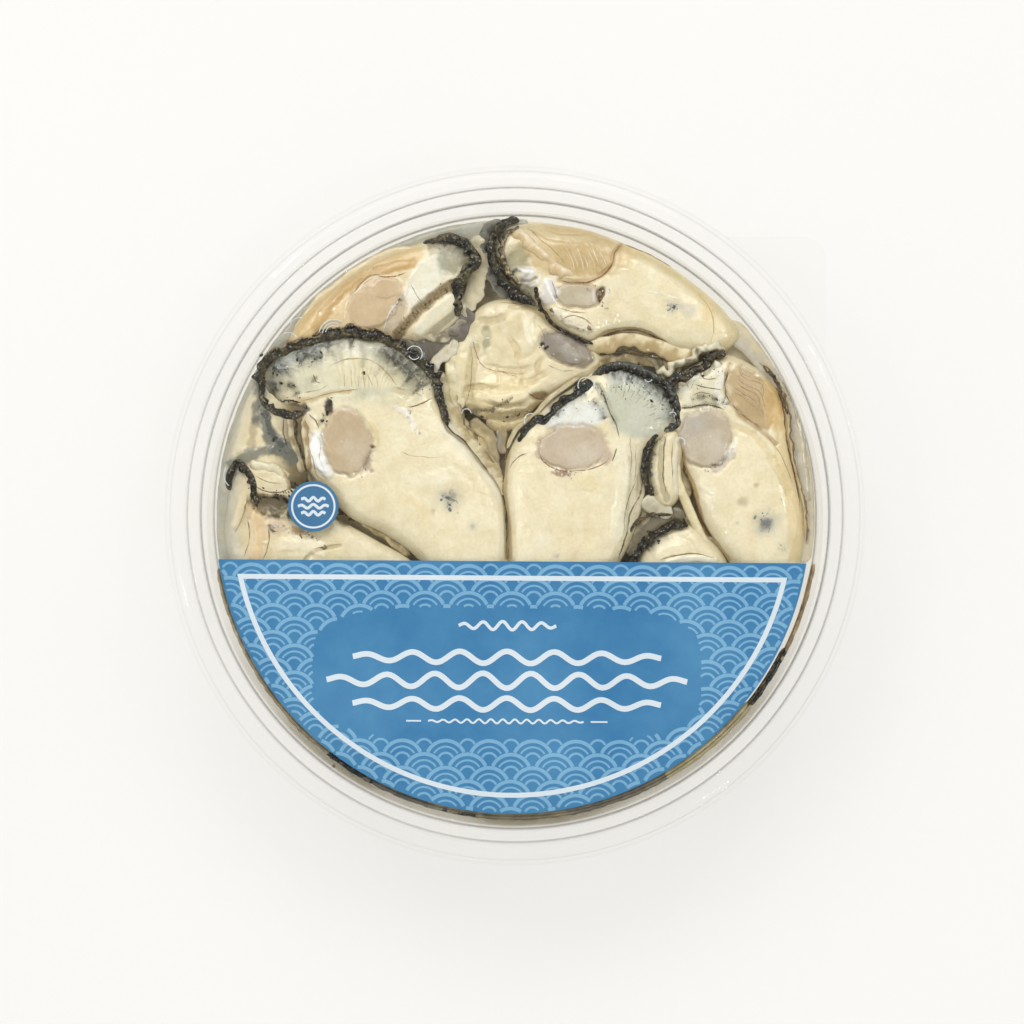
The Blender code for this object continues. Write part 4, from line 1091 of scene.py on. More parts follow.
def right_oyster():
    body = Body("oyster_right", OUTLINES["right"], (49, 9), 31.5, 28.4, 7.0, 380, 78, seed=37)
    body.blob(40.6, 27.0, 6.0, 4.4, 12, (226, 222, 196), 0.7, 0.2, 0.3, 0.25)
    body.stroke([(56.0, 28.0), (57.4, 20.0), (58.6, 11.0), (60.4, 2.0), (60.8, -8.0)], 2.4, (230, 206, 148), 0.6,
                -0.2, 0.4)
    patch = body.blob(50.6, 25.4, 4.4, 8.0, 28, (190, 164, 122), 0.95, -0.4, 0.25, 0.25)
    body.paint(patch * step(noise(body.x, body.y, 0, 4.0, 73, 3), 0.0, 0.5) * 0.5, (212, 188, 146))
    body.blob(55.4, 23.6, 2.2, 6.4, 12, (218, 184, 120), 0.8, -0.2, 0.4, 0.3)
    for shift, reach in ((0.0, 0.0), (1.1, 0.6), (2.6, -0.5), (3.5, 0.8), (5.2, 0.0), (6.1, -0.8)):
        line = [(46.8 + 0.2 * shift, 26.6 + 1.1 * shift), (48.9, 25.4 + 0.85 * shift),
                (51.4 + 0.3 * shift, 23.4 + 0.9 * shift),
                (53.0 + reach, 20.8 + 0.8 * shift - reach)]
        body.thread(line, 0.1, (172, 144, 104), 0.5)
        body.thread([(x + 0.5, y + 0.5) for x, y in line[:3]], 0.08, (214, 192, 158), 0.5)
    body.stroke([(46.2, 32.6), (45.0, 27.6), (47.2, 23.0), (51.5, 19.2), (56.0, 15.6)], 0.5, (170, 140, 90), 0.5,
                -0.3, 0.6)
    body.thread([(45.3, 31.6), (44.8, 28.0), (46.2, 24.4), (49.6, 21.2), (53.0, 18.8)], 0.16, (140, 108, 62), 0.6)
    body.thread([(51.4, 19.6), (54.6, 16.4), (57.6, 12.0), (59.6, 6.6)], 0.12, (176, 140, 84), 0.7)
    body.stroke([(46.6, 19.5), (51.5, 16.9), (55.6, 11.2), (58.6, 5.0)], 0.8, (224, 200, 146), 0.45, -0.25, 0.5)
    body.stroke([(35.0, 23.5), (38.0, 23.2), (41.3, 23.9), (44.6, 23.1)], 0.5, (150, 138, 106), 0.6, -0.5, 0.9, 0.2)
    body.thread([(34.6, 23.2), (37.4, 23.4), (41.0, 23.9), (45.0, 22.9)], 0.26, (76, 66, 42), 0.4)
    body.thread([(38.4, 28.4), (41.2, 27.6), (44.6, 27.0)], 0.16, (110, 98, 66), 0.5)
    body.thread([(38.0, 26.0), (40.0, 26.6), (42.4, 26.0)], 0.12, (150, 136, 100), 0.6)
    body.thread([(45.8, 31.4), (45.0, 28.6), (45.2, 26.0), (44.4, 23.6)], 0.26, (120, 104, 70), 0.5)
    body.stroke([(43.4, 32.6), (44.2, 29.6), (43.4, 26.6), (44.6, 24.0)], 0.7, (240, 238, 224), 0.8, 0.4, 0.8, 0.2)
    # Painted glints: white flecks on the pale fold.
    body.flecks([(44.4, 25.4), (45.0, 23.6)], 0.5, 24, (0.1, 0.3), (200, 196, 184), (255, 255, 252), 28)
    body.thread([(39.0, 30.6), (41.0, 29.4), (43.2, 29.6)], 0.14, (140, 128, 96), 0.6)
    body.muscle(40.8, 16.8, 5.9, 6.1, 0, (200, 186, 162), (140, 122, 92), 0.4)
    body.blob(38.4, 19.6, 3.4, 3.0, 20, (188, 186, 180), 0.55, 0.0, 0.8, 0.3)
    body.blob(44.6, 11.2, 1.2, 3.4, -46, (180, 164, 140), 0.75, -0.2, 0.6, 0.9)
    # Brown flakes by the muscle; the near-white ones are painted glints.
    body.flecks([(46.2, 16.4), (45.2, 13.4), (43.0, 11.0), (40.8, 9.8)], 0.7, 44, (0.1, 0.3), (110, 92, 70),
                (248, 240, 226), 13)
    body.blob(46.4, 14.4, 1.1, 2.4, -24, PALE, 0.6, 0.2, 0.5, 0.7)
    body.speck(54.0, -1.6, 2.0, 1.3)
    body.flecks([(52.6, -0.6), (54.0, -1.6), (55.4, -2.2)], 1.0, 30, (0.1, 0.3), (92, 100, 106), (150, 156, 156), 14)
    body.blob(48.7, 2.9, 1.2, 1.0, 30, (196, 180, 146), 0.7, -0.1, 0.7, 0.8)
    body.blob(51.7, 6.6, 0.7, 0.6, 0, (196, 176, 140), 0.7, -0.1, 0.7, 0.6)
    body.speck(57.4, -6.9, 1.0, 0.4)
    body.speck(47.6, -1.6, 0.4, 0.5)
    body.stroke([(36.1, 14.1), (36.4, 10.5), (38.1, 6.9), (39.4, 2.0), (40.9, -2.6), (45.8, -9.3)], 0.5,
                (176, 142, 82), 0.7, -0.25, 0.5)
    body.thread([(36.0, 14.4), (36.2, 10.8), (37.9, 7.1), (39.0, 2.8), (40.4, -2.2), (44.2, -7.4), (46.0, -9.6)], 0.22,
                (124, 86, 32), 0.4)
    body.fringe([(33.2, 26.4), (35.8, 29.4), (39.0, 31.0)], 1.2, DARK, (120, 118, 98), 0.9, 0.1, 2)
    body.fringe([(37.6, 24.8), (40.4, 25.6), (43.6, 25.0)], 0.6, (70, 62, 42), (168, 160, 128), 0.7, 0.1, 14)
    body.flecks([(34.6, 28.6), (38.6, 30.4), (43.0, 31.6)], 1.3, 90, (0.06, 0.26), (60, 54, 38), (170, 162, 132), 36)
    body.thread([(52.4, 32.4), (55.6, 28.4), (57.4, 23.4), (57.9, 18.2), (59.0, 12.0), (60.4, 6.6), (61.2, 0.8)], 0.26,
                (120, 82, 26), 0.5)
    place(body.build())
    place(ribbon("oyster_right_crest",
                 [(32.4, 27.6), (34.4, 29.6), (36.6, 29.8), (38.6, 31.6), (40.6, 32.2), (42.4, 34.4), (45.4, 34.9)],
                 2.2, 1.8,
                 [29.8, 30.8, 31.0, 30.8], (88, 78, 58), DARK, (0.35, 2.6), (0.4, 1.4), seed=21))
    place(ribbon("oyster_right_frill",
                 [(30.2, 31.2), (32.8, 30.8), (34.6, 32.4), (37.4, 33.2), (39.6, 35.2), (43.0, 36.4), (45.2, 35.8)],
                 1.7, 1.2,
                 [29.2, 30.2, 30.6, 30.2], (120, 112, 84), (222, 216, 190), (0.6, 2.4), (0.3, 1.4), look=FLESH,
                 seed=22, mottle=1.0))
    place(ribbon("oyster_right_crest_inner", [(35.0, 27.6), (37.4, 29.0), (40.2, 30.0), (42.6, 31.6), (44.6, 32.6)],
                 1.6, 1.0,
                 [30.4, 31.0, 31.0, 30.8], (232, 228, 208), (160, 152, 122), (0.5, 2.2), (0.3, 1.4), look=FLESH,
                 seed=29, mottle=1.0))
    place(ribbon("oyster_right_corner", [(33.0, 25.4), (33.4, 22.4), (34.6, 19.4)], 1.8, 1.2, 29.8,
                 (150, 158, 160), (88, 96, 98), (0.2, 2.4), seed=24, taper=0.3, look=FLESH))
    place(ribbon("oyster_right_side",
                 [(52.4, 33.0), (55.2, 30.2), (57.4, 26.4), (58.7, 22.2), (58.9, 17.8), (59.9, 12.1), (61.2, 6.6),
                  (62.3, 0.8), (62.5, -6.0)], 0.8, 0.9, [30.0, 30.4, 30.4, 30.2, 29.8], (206, 184, 134),
                 (104, 82, 44), (0.2, 2.4), (0.35, 1.4), look=FLESH, seed=25, side=1, mottle=0.6))
    place(ribbon("oyster_right_side_dark", [(53.2, 32.4), (55.6, 29.6), (57.3, 26.0), (58.5, 21.8)], 0.8, 0.9,
                 [30.2, 30.6, 30.4], (120, 92, 44), (60, 44, 22), (0.25, 1.8), (0.5, 1.2), seed=28))
    place(ribbon("oyster_right_outer_flap",
                 [(45.0, 42.0), (51.6, 35.6), (57.4, 27.0), (60.8, 18.0), (62.2, 8.0), (62.6, -1.0), (61.8, -10.0)],
                 5.4, 1.6,
                 [28.4, 28.6, 28.8, 28.8, 28.6], (226, 214, 180), (206, 200, 184), (0.2, 8.0), look=FLESH, seed=27,
                 mottle=0.5, fog=0.5, side=-1))
    place(ribbon("oyster_right_outer_line",
                 [(54.4, 34.0), (58.8, 27.4), (61.2, 20.0), (62.2, 12.0), (63.2, 3.0)], 0.9, 0.9, [29.0, 29.4, 29.2],
                 (244, 238, 222), (190, 180, 152), (0.3, 4.0), look=FLESH, seed=30, mottle=0.6))
    place(ribbon("oyster_right_left_flap",
                 [(34.6, 12.0), (34.8, 8.0), (36.4, 3.6), (38.4, -1.2), (41.4, -6.4), (44.4, -11.0)], 2.0, 1.4,
                 [29.6, 29.4, 29.0, 28.6], (222, 206, 162), (238, 226, 188), (0.2, 5.0), look=FLESH, seed=26,
                 mottle=0.15))


def top_right_oyster():
    body = Body("oyster_top_right", OUTLINES["top_right"], (20, 49), 31.5, 28.4, 6.8, 390, 78, seed=41)
    body.blob(12.0, 56.8, 12.5, 6.4, -6, (212, 189, 141), 0.9, -0.25, 0.2, 0.16)
    gill = body.blob(14.6, 55.2, 6.6, 4.2, -10, (202, 176, 126), 0.7, 0.0, 0.3)
    body.fan((6.0, 74.0), gill, 110, (202, 172, 118), 0.35, 0.06, 0.2)
    for shift, up, down in ((0.0, 57.8, 52.8), (0.9, 57.0, 53.4), (2.1, 57.9, 52.4), (3.0, 56.4, 53.0),
                            (4.4, 57.6, 52.9),
                            (5.3, 58.1, 54.0), (6.9, 57.0, 53.4)):
        body.thread([(11.0 + shift, up), (12.3 + shift, 55.0), (12.7 + shift, down)], 0.1, (238, 222, 184), 0.6)
        body.thread([(11.5 + shift, up), (12.8 + shift, 55.2), (13.1 + shift, down)], 0.11, (200, 170, 118), 0.8)
    body.blob(23.9, 56.2, 2.2, 3.0, 10, (222, 198, 142), 0.6, -0.2, 0.7, 0.4)
    body.stroke([(26.0, 57.2), (31.0, 55.0), (38.0, 50.0), (42.6, 45.0)], 1.5, (232, 212, 158), 0.6, -0.1, 0.4)
    body.stroke([(23.1, 58.6), (21.2, 56.3), (20.8, 54.0), (18.5, 51.7), (16.6, 50.5), (13.2, 50.3), (9.4, 50.6)],
                0.6, (180, 146, 90), 0.6, -0.3, 0.5)
    body.thread([(23.2, 58.8), (21.4, 56.5), (20.7, 54.0), (18.5, 51.5), (15.6, 50.2), (12.4, 50.1), (9.0, 50.7)], 0.22,
                (132, 92, 36), 0.4)
    body.thread([(23.0, 58.7), (26.5, 57.2), (29.8, 55.8), (33.6, 53.7)], 0.2, (132, 92, 36), 0.5)
    body.stroke([(3.6, 62.4), (7.6, 60.2), (12.0, 59.6), (17.6, 60.0)], 1.0, (214, 196, 150), 0.6, -0.3, 0.4)
    body.thread([(2.4, 62.4), (5.6, 59.2), (8.8, 56.6), (11.4, 53.4)], 0.14, (180, 148, 98), 0.5)
    body.blob(0.6, 55.2, 2.8, 3.6, 30, (160, 152, 118), 0.8, -0.2, 0.4, 0.5)
    body.muscle(13.6, 47.4, 4.9, 2.5, -2, (198, 185, 158), (170, 140, 96), 0.45)
    body.blob(18.4, 47.6, 0.9, 2.0, -10, (120, 88, 60), 0.95, -0.8, 0.3, 0.6)
    # Brown flakes whose near-white ones are painted glints, then white flakes that are painted glints.
    body.flecks([(17.4, 49.4), (18.4, 47.6), (18.8, 45.4)], 0.5, 34, (0.1, 0.28), (96, 68, 44), (240, 226, 200), 15)
    body.flecks([(19.7, 49.6), (20.2, 47.4), (19.5, 45.2)], 0.4, 24, (0.08, 0.26), (255, 253, 248), (226, 212, 186), 32)
    body.stroke([(17.0, 49.4), (16.8, 47.2), (17.2, 45.0)], 0.3, (244, 238, 226), 0.5, 0.2, 1.0, 0.3)
    # Painted wet highlights: the grey-white patches and the white strokes round the cavity.
    body.blob(2.8, 51.4, 2.4, 1.9, 30, (222, 220, 212), 0.8, 0.5, 0.6, 0.9)
    body.stroke([(0.8, 53.2), (2.4, 52.4), (4.0, 52.6)], 0.35, (252, 252, 252), 0.8, 0.3, 1.0)
    body.stroke([(1.6, 50.6), (3.0, 50.4), (4.6, 51.2)], 0.3, (140, 134, 122), 0.7, -0.3, 1.0)
    body.stroke([(3.2, 49.2), (4.6, 49.8), (5.4, 51.4)], 0.3, (250, 250, 250), 0.8, 0.3, 1.0)
    body.blob(7.4, 48.2, 1.8, 3.0, -16, (224, 220, 214), 0.85, 0.4, 0.5, 0.9)
    body.stroke([(6.6, 50.6), (7.4, 48.4), (8.6, 46.0)], 0.3, (254, 254, 254), 0.9, 0.3, 0.9)
    body.thread([(7.8, 50.6), (8.6, 48.2), (9.4, 46.4)], 0.16, (150, 144, 134), 0.5)
    body.blob(9.4, 43.4, 2.4, 1.2, -20, (242, 234, 208), 0.8, 0.4, 0.4, 0.7)
    body.blob(13.0, 41.8, 3.6, 1.6, -24, (242, 234, 208), 0.8, 0.5, 0.4, 0.7)
    body.thread([(8.4, 45.0), (11.6, 44.0), (15.4, 43.6)], 0.14, (176, 148, 98), 0.7)
    body.thread([(9.6, 41.8), (12.2, 43.0), (15.0, 42.2), (17.0, 40.4)], 0.14, (170, 142, 94), 0.7)
    # Brown flakes whose near-white ones are painted glints.
    body.flecks([(7.4, 43.4), (11.6, 41.4), (16.2, 39.6)], 1.1, 36, (0.1, 0.3), (140, 108, 66), (252, 246, 230), 17)
    body.speck(33.8, 44.9, 1.2, 1.0)
    body.flecks([(33.0, 45.2), (34.4, 44.6)], 0.5, 14, (0.12, 0.3), (84, 84, 76), (140, 140, 130), 18)
    body.blob(37.0, 44.2, 2.0, 1.6, -30, (202, 198, 184), 0.55, 0.0, 0.6, 0.4)
    # Painted highlight: a thin white line of wet sheen.
    body.thread([(27.8, 48.6), (31.4, 47.8), (35.6, 46.5)], 0.16, (255, 253, 244), 0.2)
    body.blob(41.2, 43.2, 1.6, 2.8, 20, (234, 206, 148), 0.5, 0.0, 0.6)
    body.paint(step(body.x, 40.0, 46.0) * 0.6, (230, 212, 164))
    body.thread([(39.4, 48.0), (41.8, 44.6), (42.6, 40.6), (42.0, 37.0)], 0.14, (196, 164, 104), 0.7)
    body.fringe([(-1.6, 62.6), (-4.2, 60.6), (-4.8, 58.2), (-3.8, 55.1), (-1.4, 51.2), (1.2, 48.4), (4.4, 46.6)],
                1.5, DARK, (116, 108, 80), 1.0, 0.15, 4)
    body.stroke([(16.6, 37.6), (19.3, 39.3), (23.1, 40.1), (26.9, 39.9), (30.0, 38.6), (33.4, 36.4)], 0.5,
                (160, 130, 78), 0.7, -0.35, 0.4)
    body.thread([(16.6, 37.4), (19.4, 39.2), (23.1, 40.2), (26.9, 40.0), (30.0, 38.8), (32.8, 37.2)], 0.24,
                (92, 66, 26), 0.35)
    place(body.build())
    place(ribbon("oyster_top_right_rib", [(-0.6, 61.6), (2.2, 59.6), (4.8, 56.8), (7.8, 54.2), (10.0, 52.6),
                                          (12.6, 51.6)],
                 2.5, 1.6, [30.2, 30.8, 31.0, 31.0, 30.8], (232, 214, 180), (206, 182, 138), (0.35, 3.0), (0.5, 2.2),
                 look=FLESH, seed=39, side=-1, mottle=0.5))
    place(ribbon("oyster_top_right_band",
                 [(1.0, 63.6), (-1.6, 63.4), (-4.4, 61.4), (-5.3, 58.0), (-4.5, 54.4), (-2.6, 50.9), (0.4, 47.7),
                  (4.4, 45.4)],
                 2.3, 1.6, [29.4, 30.4, 30.8, 30.6, 30.0], (66, 60, 44), DARK, (0.35, 4.2), (0.3, 1.8), seed=31,
                 side=-1))
    place(ribbon("oyster_top_right_band_inner",
                 [(0.8, 62.4), (-1.9, 60.6), (-3.0, 57.4), (-2.2, 54.2), (-0.6, 51.6), (1.6, 49.4)], 1.5, 1.2,
                 [30.4, 31.0, 31.0, 30.6], (176, 166, 134), (70, 62, 42), (0.3, 2.4), (0.4, 1.4), seed=34, side=-1,
                 mottle=0.8))
    place(ribbon("oyster_top_right_slate",
                 [(-2.6, 63.4), (-5.4, 61.6), (-6.6, 58.2), (-6.0, 54.0), (-4.2, 50.0), (-1.8, 46.8)], 3.0, 0.7,
                 [28.6, 28.8, 28.8, 28.6], (78, 76, 68), (128, 126, 116), (0.35, 3.6), (0.2, 2.4), look=FLESH, seed=40,
                 side=-1, mottle=1.0, fog=0.3))
    place(ribbon("oyster_top_right_seam",
                 [(5.6, 51.8), (4.8, 48.9), (5.4, 45.2), (8.2, 41.3), (11.6, 38.9), (16.8, 37.0)], 1.0, 1.1,
                 [30.8, 30.8, 30.4, 30.0], (86, 66, 36), (38, 32, 22), (0.3, 2.4), (0.3, 1.2), seed=32, side=-1))
    place(ribbon("oyster_top_right_lower_flap",
                 [(15.4, 36.2), (20.0, 37.2), (26.0, 37.6), (31.0, 36.2), (36.0, 34.6), (40.0, 35.6)], 3.4, 1.3,
                 [29.0, 29.6, 29.8, 29.6, 29.4], (232, 218, 180), (188, 166, 118), (0.4, 4.0), (0.15, 2.6),
                 look=FLESH, seed=33, mottle=0.7, side=-1))
    place(ribbon("oyster_top_right_lower_line",
                 [(17.0, 35.2), (21.0, 35.6), (26.0, 35.2), (31.0, 33.9), (36.0, 33.4)], 0.5, 0.8,
                 [28.9, 29.2, 29.2, 29.0], (112, 84, 42), (84, 62, 30), (0.2, 3.0), (0.3, 1.4), seed=35))


def top_left_oyster():
    body = Body("oyster_top_left", OUTLINES["top_left"], (-26, 47), 31.0, 28.2, 6.0, 330, 66, seed=53)
    body.paint(step(-body.x, 18, 30) * 0.9, (228, 204, 158))
    body.stroke([(-44.8, 40.4), (-41.4, 45.6), (-36.4, 51.0), (-29.8, 54.0), (-22.0, 55.8)], 2.6, (222, 194, 140),
                0.85, 0.3, 0.3)
    body.stroke([(-42.6, 40.6), (-39.4, 45.4), (-34.6, 50.2), (-29.0, 52.6), (-22.0, 54.2)], 1.3, (202, 168, 108),
                0.85, -0.2, 0.5)
    body.blob(-19.4, 50.6, 3.4, 7.2, -34, (242, 238, 218), 0.95, 0.25, 0.2, 0.15)
    body.blob(-30.2, 45.9, 6.7, 4.9, 44, (212, 189, 152), 1.0, 0.5, 0.12, 0.12)
    body.blob(-27.4, 49.0, 4.0, 2.2, 6, (212, 189, 152), 0.9, 0.3, 0.2, 0.2)
    body.thread([(-36.6, 40.8), (-36.0, 45.8), (-33.6, 48.6), (-31.0, 51.0), (-27.0, 51.6), (-23.4, 51.3)], 0.2,
                (250, 240, 216), 0.3)
    body.thread([(-35.6, 46.6), (-33.4, 49.4), (-30.8, 51.8), (-27.2, 51.2), (-22.9, 52.5)], 0.18, (150, 112, 58), 0.5)
    body.thread([(-30.6, 53.6), (-30.0, 52.4), (-28.6, 51.6)], 0.14, (160, 124, 70), 0.5)
    body.thread([(-23.0, 51.6), (-22.7, 49.6), (-23.2, 47.2)], 0.16, (240, 226, 196), 0.4)
    body.blob(-25.6, 43.2, 1.8, 4.6, -30, (204, 188, 162), 0.9, -0.2, 0.25, 0.3)
    body.thread([(-28.4, 39.4), (-27.4, 42.6), (-25.4, 45.8), (-23.2, 47.4)], 0.24, (236, 226, 204), 0.6)
    # Brown flakes whose near-white ones are painted glints.
    body.flecks([(-26.6, 43.6), (-24.8, 46.2), (-23.4, 47.6)], 0.5, 26, (0.1, 0.26), (110, 96, 76), (250, 244, 230), 19)
    stripe = body.stroke([(-13.4, 49.6), (-17.1, 47.2), (-20.8, 44.0), (-25.0, 39.2)], 1.25, (142, 122, 80), 0.95,
                         -0.4, 0.4)
    body.fan((-10.0, 30.0), stripe, 150, (104, 84, 48), 0.4, 0.05, 0.4)
    body.flecks([(-13.6, 49.4), (-17.4, 47.0), (-21.0, 43.8), (-24.8, 39.6)], 0.7, 70, (0.1, 0.34), (76, 60, 34),
                (150, 128, 86), 20)
    body.thread([(-22.4, 50.0), (-20.6, 46.6), (-19.0, 45.6)], 0.12, (150, 140, 112), 0.6)
    body.stroke([(-12.6, 46.6), (-16.8, 43.8), (-20.6, 39.9)], 1.3, (236, 230, 204), 0.9, 0.2, 0.3)
    body.stroke([(-12.4, 44.0), (-15.6, 41.2), (-18.4, 38.6)], 0.9, (150, 142, 116), 0.7, -0.2, 0.4)
    body.blob(-13.6, 55.2, 3.8, 3.2, 30, (158, 156, 132), 0.85, -0.2, 0.4, 0.5)
    body.fringe([(-19.2, 58.0), (-16.8, 58.6), (-14.2, 59.2), (-12.1, 58.2), (-10.2, 56.2), (-9.4, 54.2)], 1.4, DARK,
                (96, 92, 68), 1.0, 0.1, 7)
    place(body.build())
    place(ribbon("oyster_top_left_fringe",
                 [(-20.4, 57.8), (-17.6, 58.8), (-14.6, 59.9), (-11.8, 59.2), (-9.8, 57.2), (-8.4, 55.2), (-10.2, 52.6),
                  (-12.0, 50.0), (-12.4, 46.8), (-12.0, 42.9)], 2.5, 2.0, [28.8, 29.8, 30.6, 30.8, 30.4, 29.4],
                 (92, 88, 66), DARK, (0.5, 2.8), (0.35, 1.4), seed=51, side=-1, mottle=0.7))
    place(ribbon("oyster_top_left_fringe_tail",
                 [(-8.2, 55.4), (-10.4, 53.4), (-11.8, 50.6), (-12.0, 47.2), (-11.6, 44.2)], 1.6, 1.5,
                 [30.8, 30.6, 30.2],
                 (120, 118, 96), DARK, (0.4, 2.4), (0.35, 1.2), seed=54, side=1))
    place(ribbon("oyster_top_left_edge", [(-47.2, 37.2), (-45.4, 41.8), (-40.2, 48.2), (-32.8, 53.6), (-25.0, 57.0),
                                          (-20.2, 57.4)],
                 2.0, 1.3, [28.6, 29.2, 29.6, 29.6], (230, 208, 164), (236, 218, 180), (0.2, 6.0), look=FLESH,
                 seed=52, mottle=0.2))
    place(ribbon("oyster_top_left_rim", [(-60.4, -16.0), (-62.6, -7.0), (-62.6, 6.0), (-60.2, 17.0), (-53.6, 32.2),
                                         (-46.0, 42.2), (-36.0, 51.0),
                                         (-26.0, 56.7), (-16.0, 60.3), (-6.0, 62.1), (3.0, 62.3)],
                 5.6, 1.2, 28.1, (194, 190, 172), (184, 184, 172), (0.3, 8.0), look=FLESH, seed=55, mottle=0.9, fog=0.3,
                 taper=0.03))
    place(ribbon("oyster_top_gap_lobe", [(-8.4, 60.6), (-7.4, 56.6), (-7.8, 51.6), (-9.0, 46.8), (-11.0, 43.0)], 4.4,
                 1.1,
                 [28.4, 28.8, 28.6], (198, 190, 160), (222, 212, 180), (0.45, 4.0), (0.2, 2.4), look=FLESH, seed=56,
                 mottle=1.0))
    place(ribbon("oyster_top_left_corner", [(-23.6, 41.4), (-20.4, 39.6), (-16.8, 38.4), (-13.8, 38.6)], 2.2, 1.2,
                 [29.0, 29.6, 29.4], (206, 198, 170), (128, 118, 94), (0.4, 3.0), (0.3, 1.6), look=FLESH, seed=57,
                 mottle=1.0))


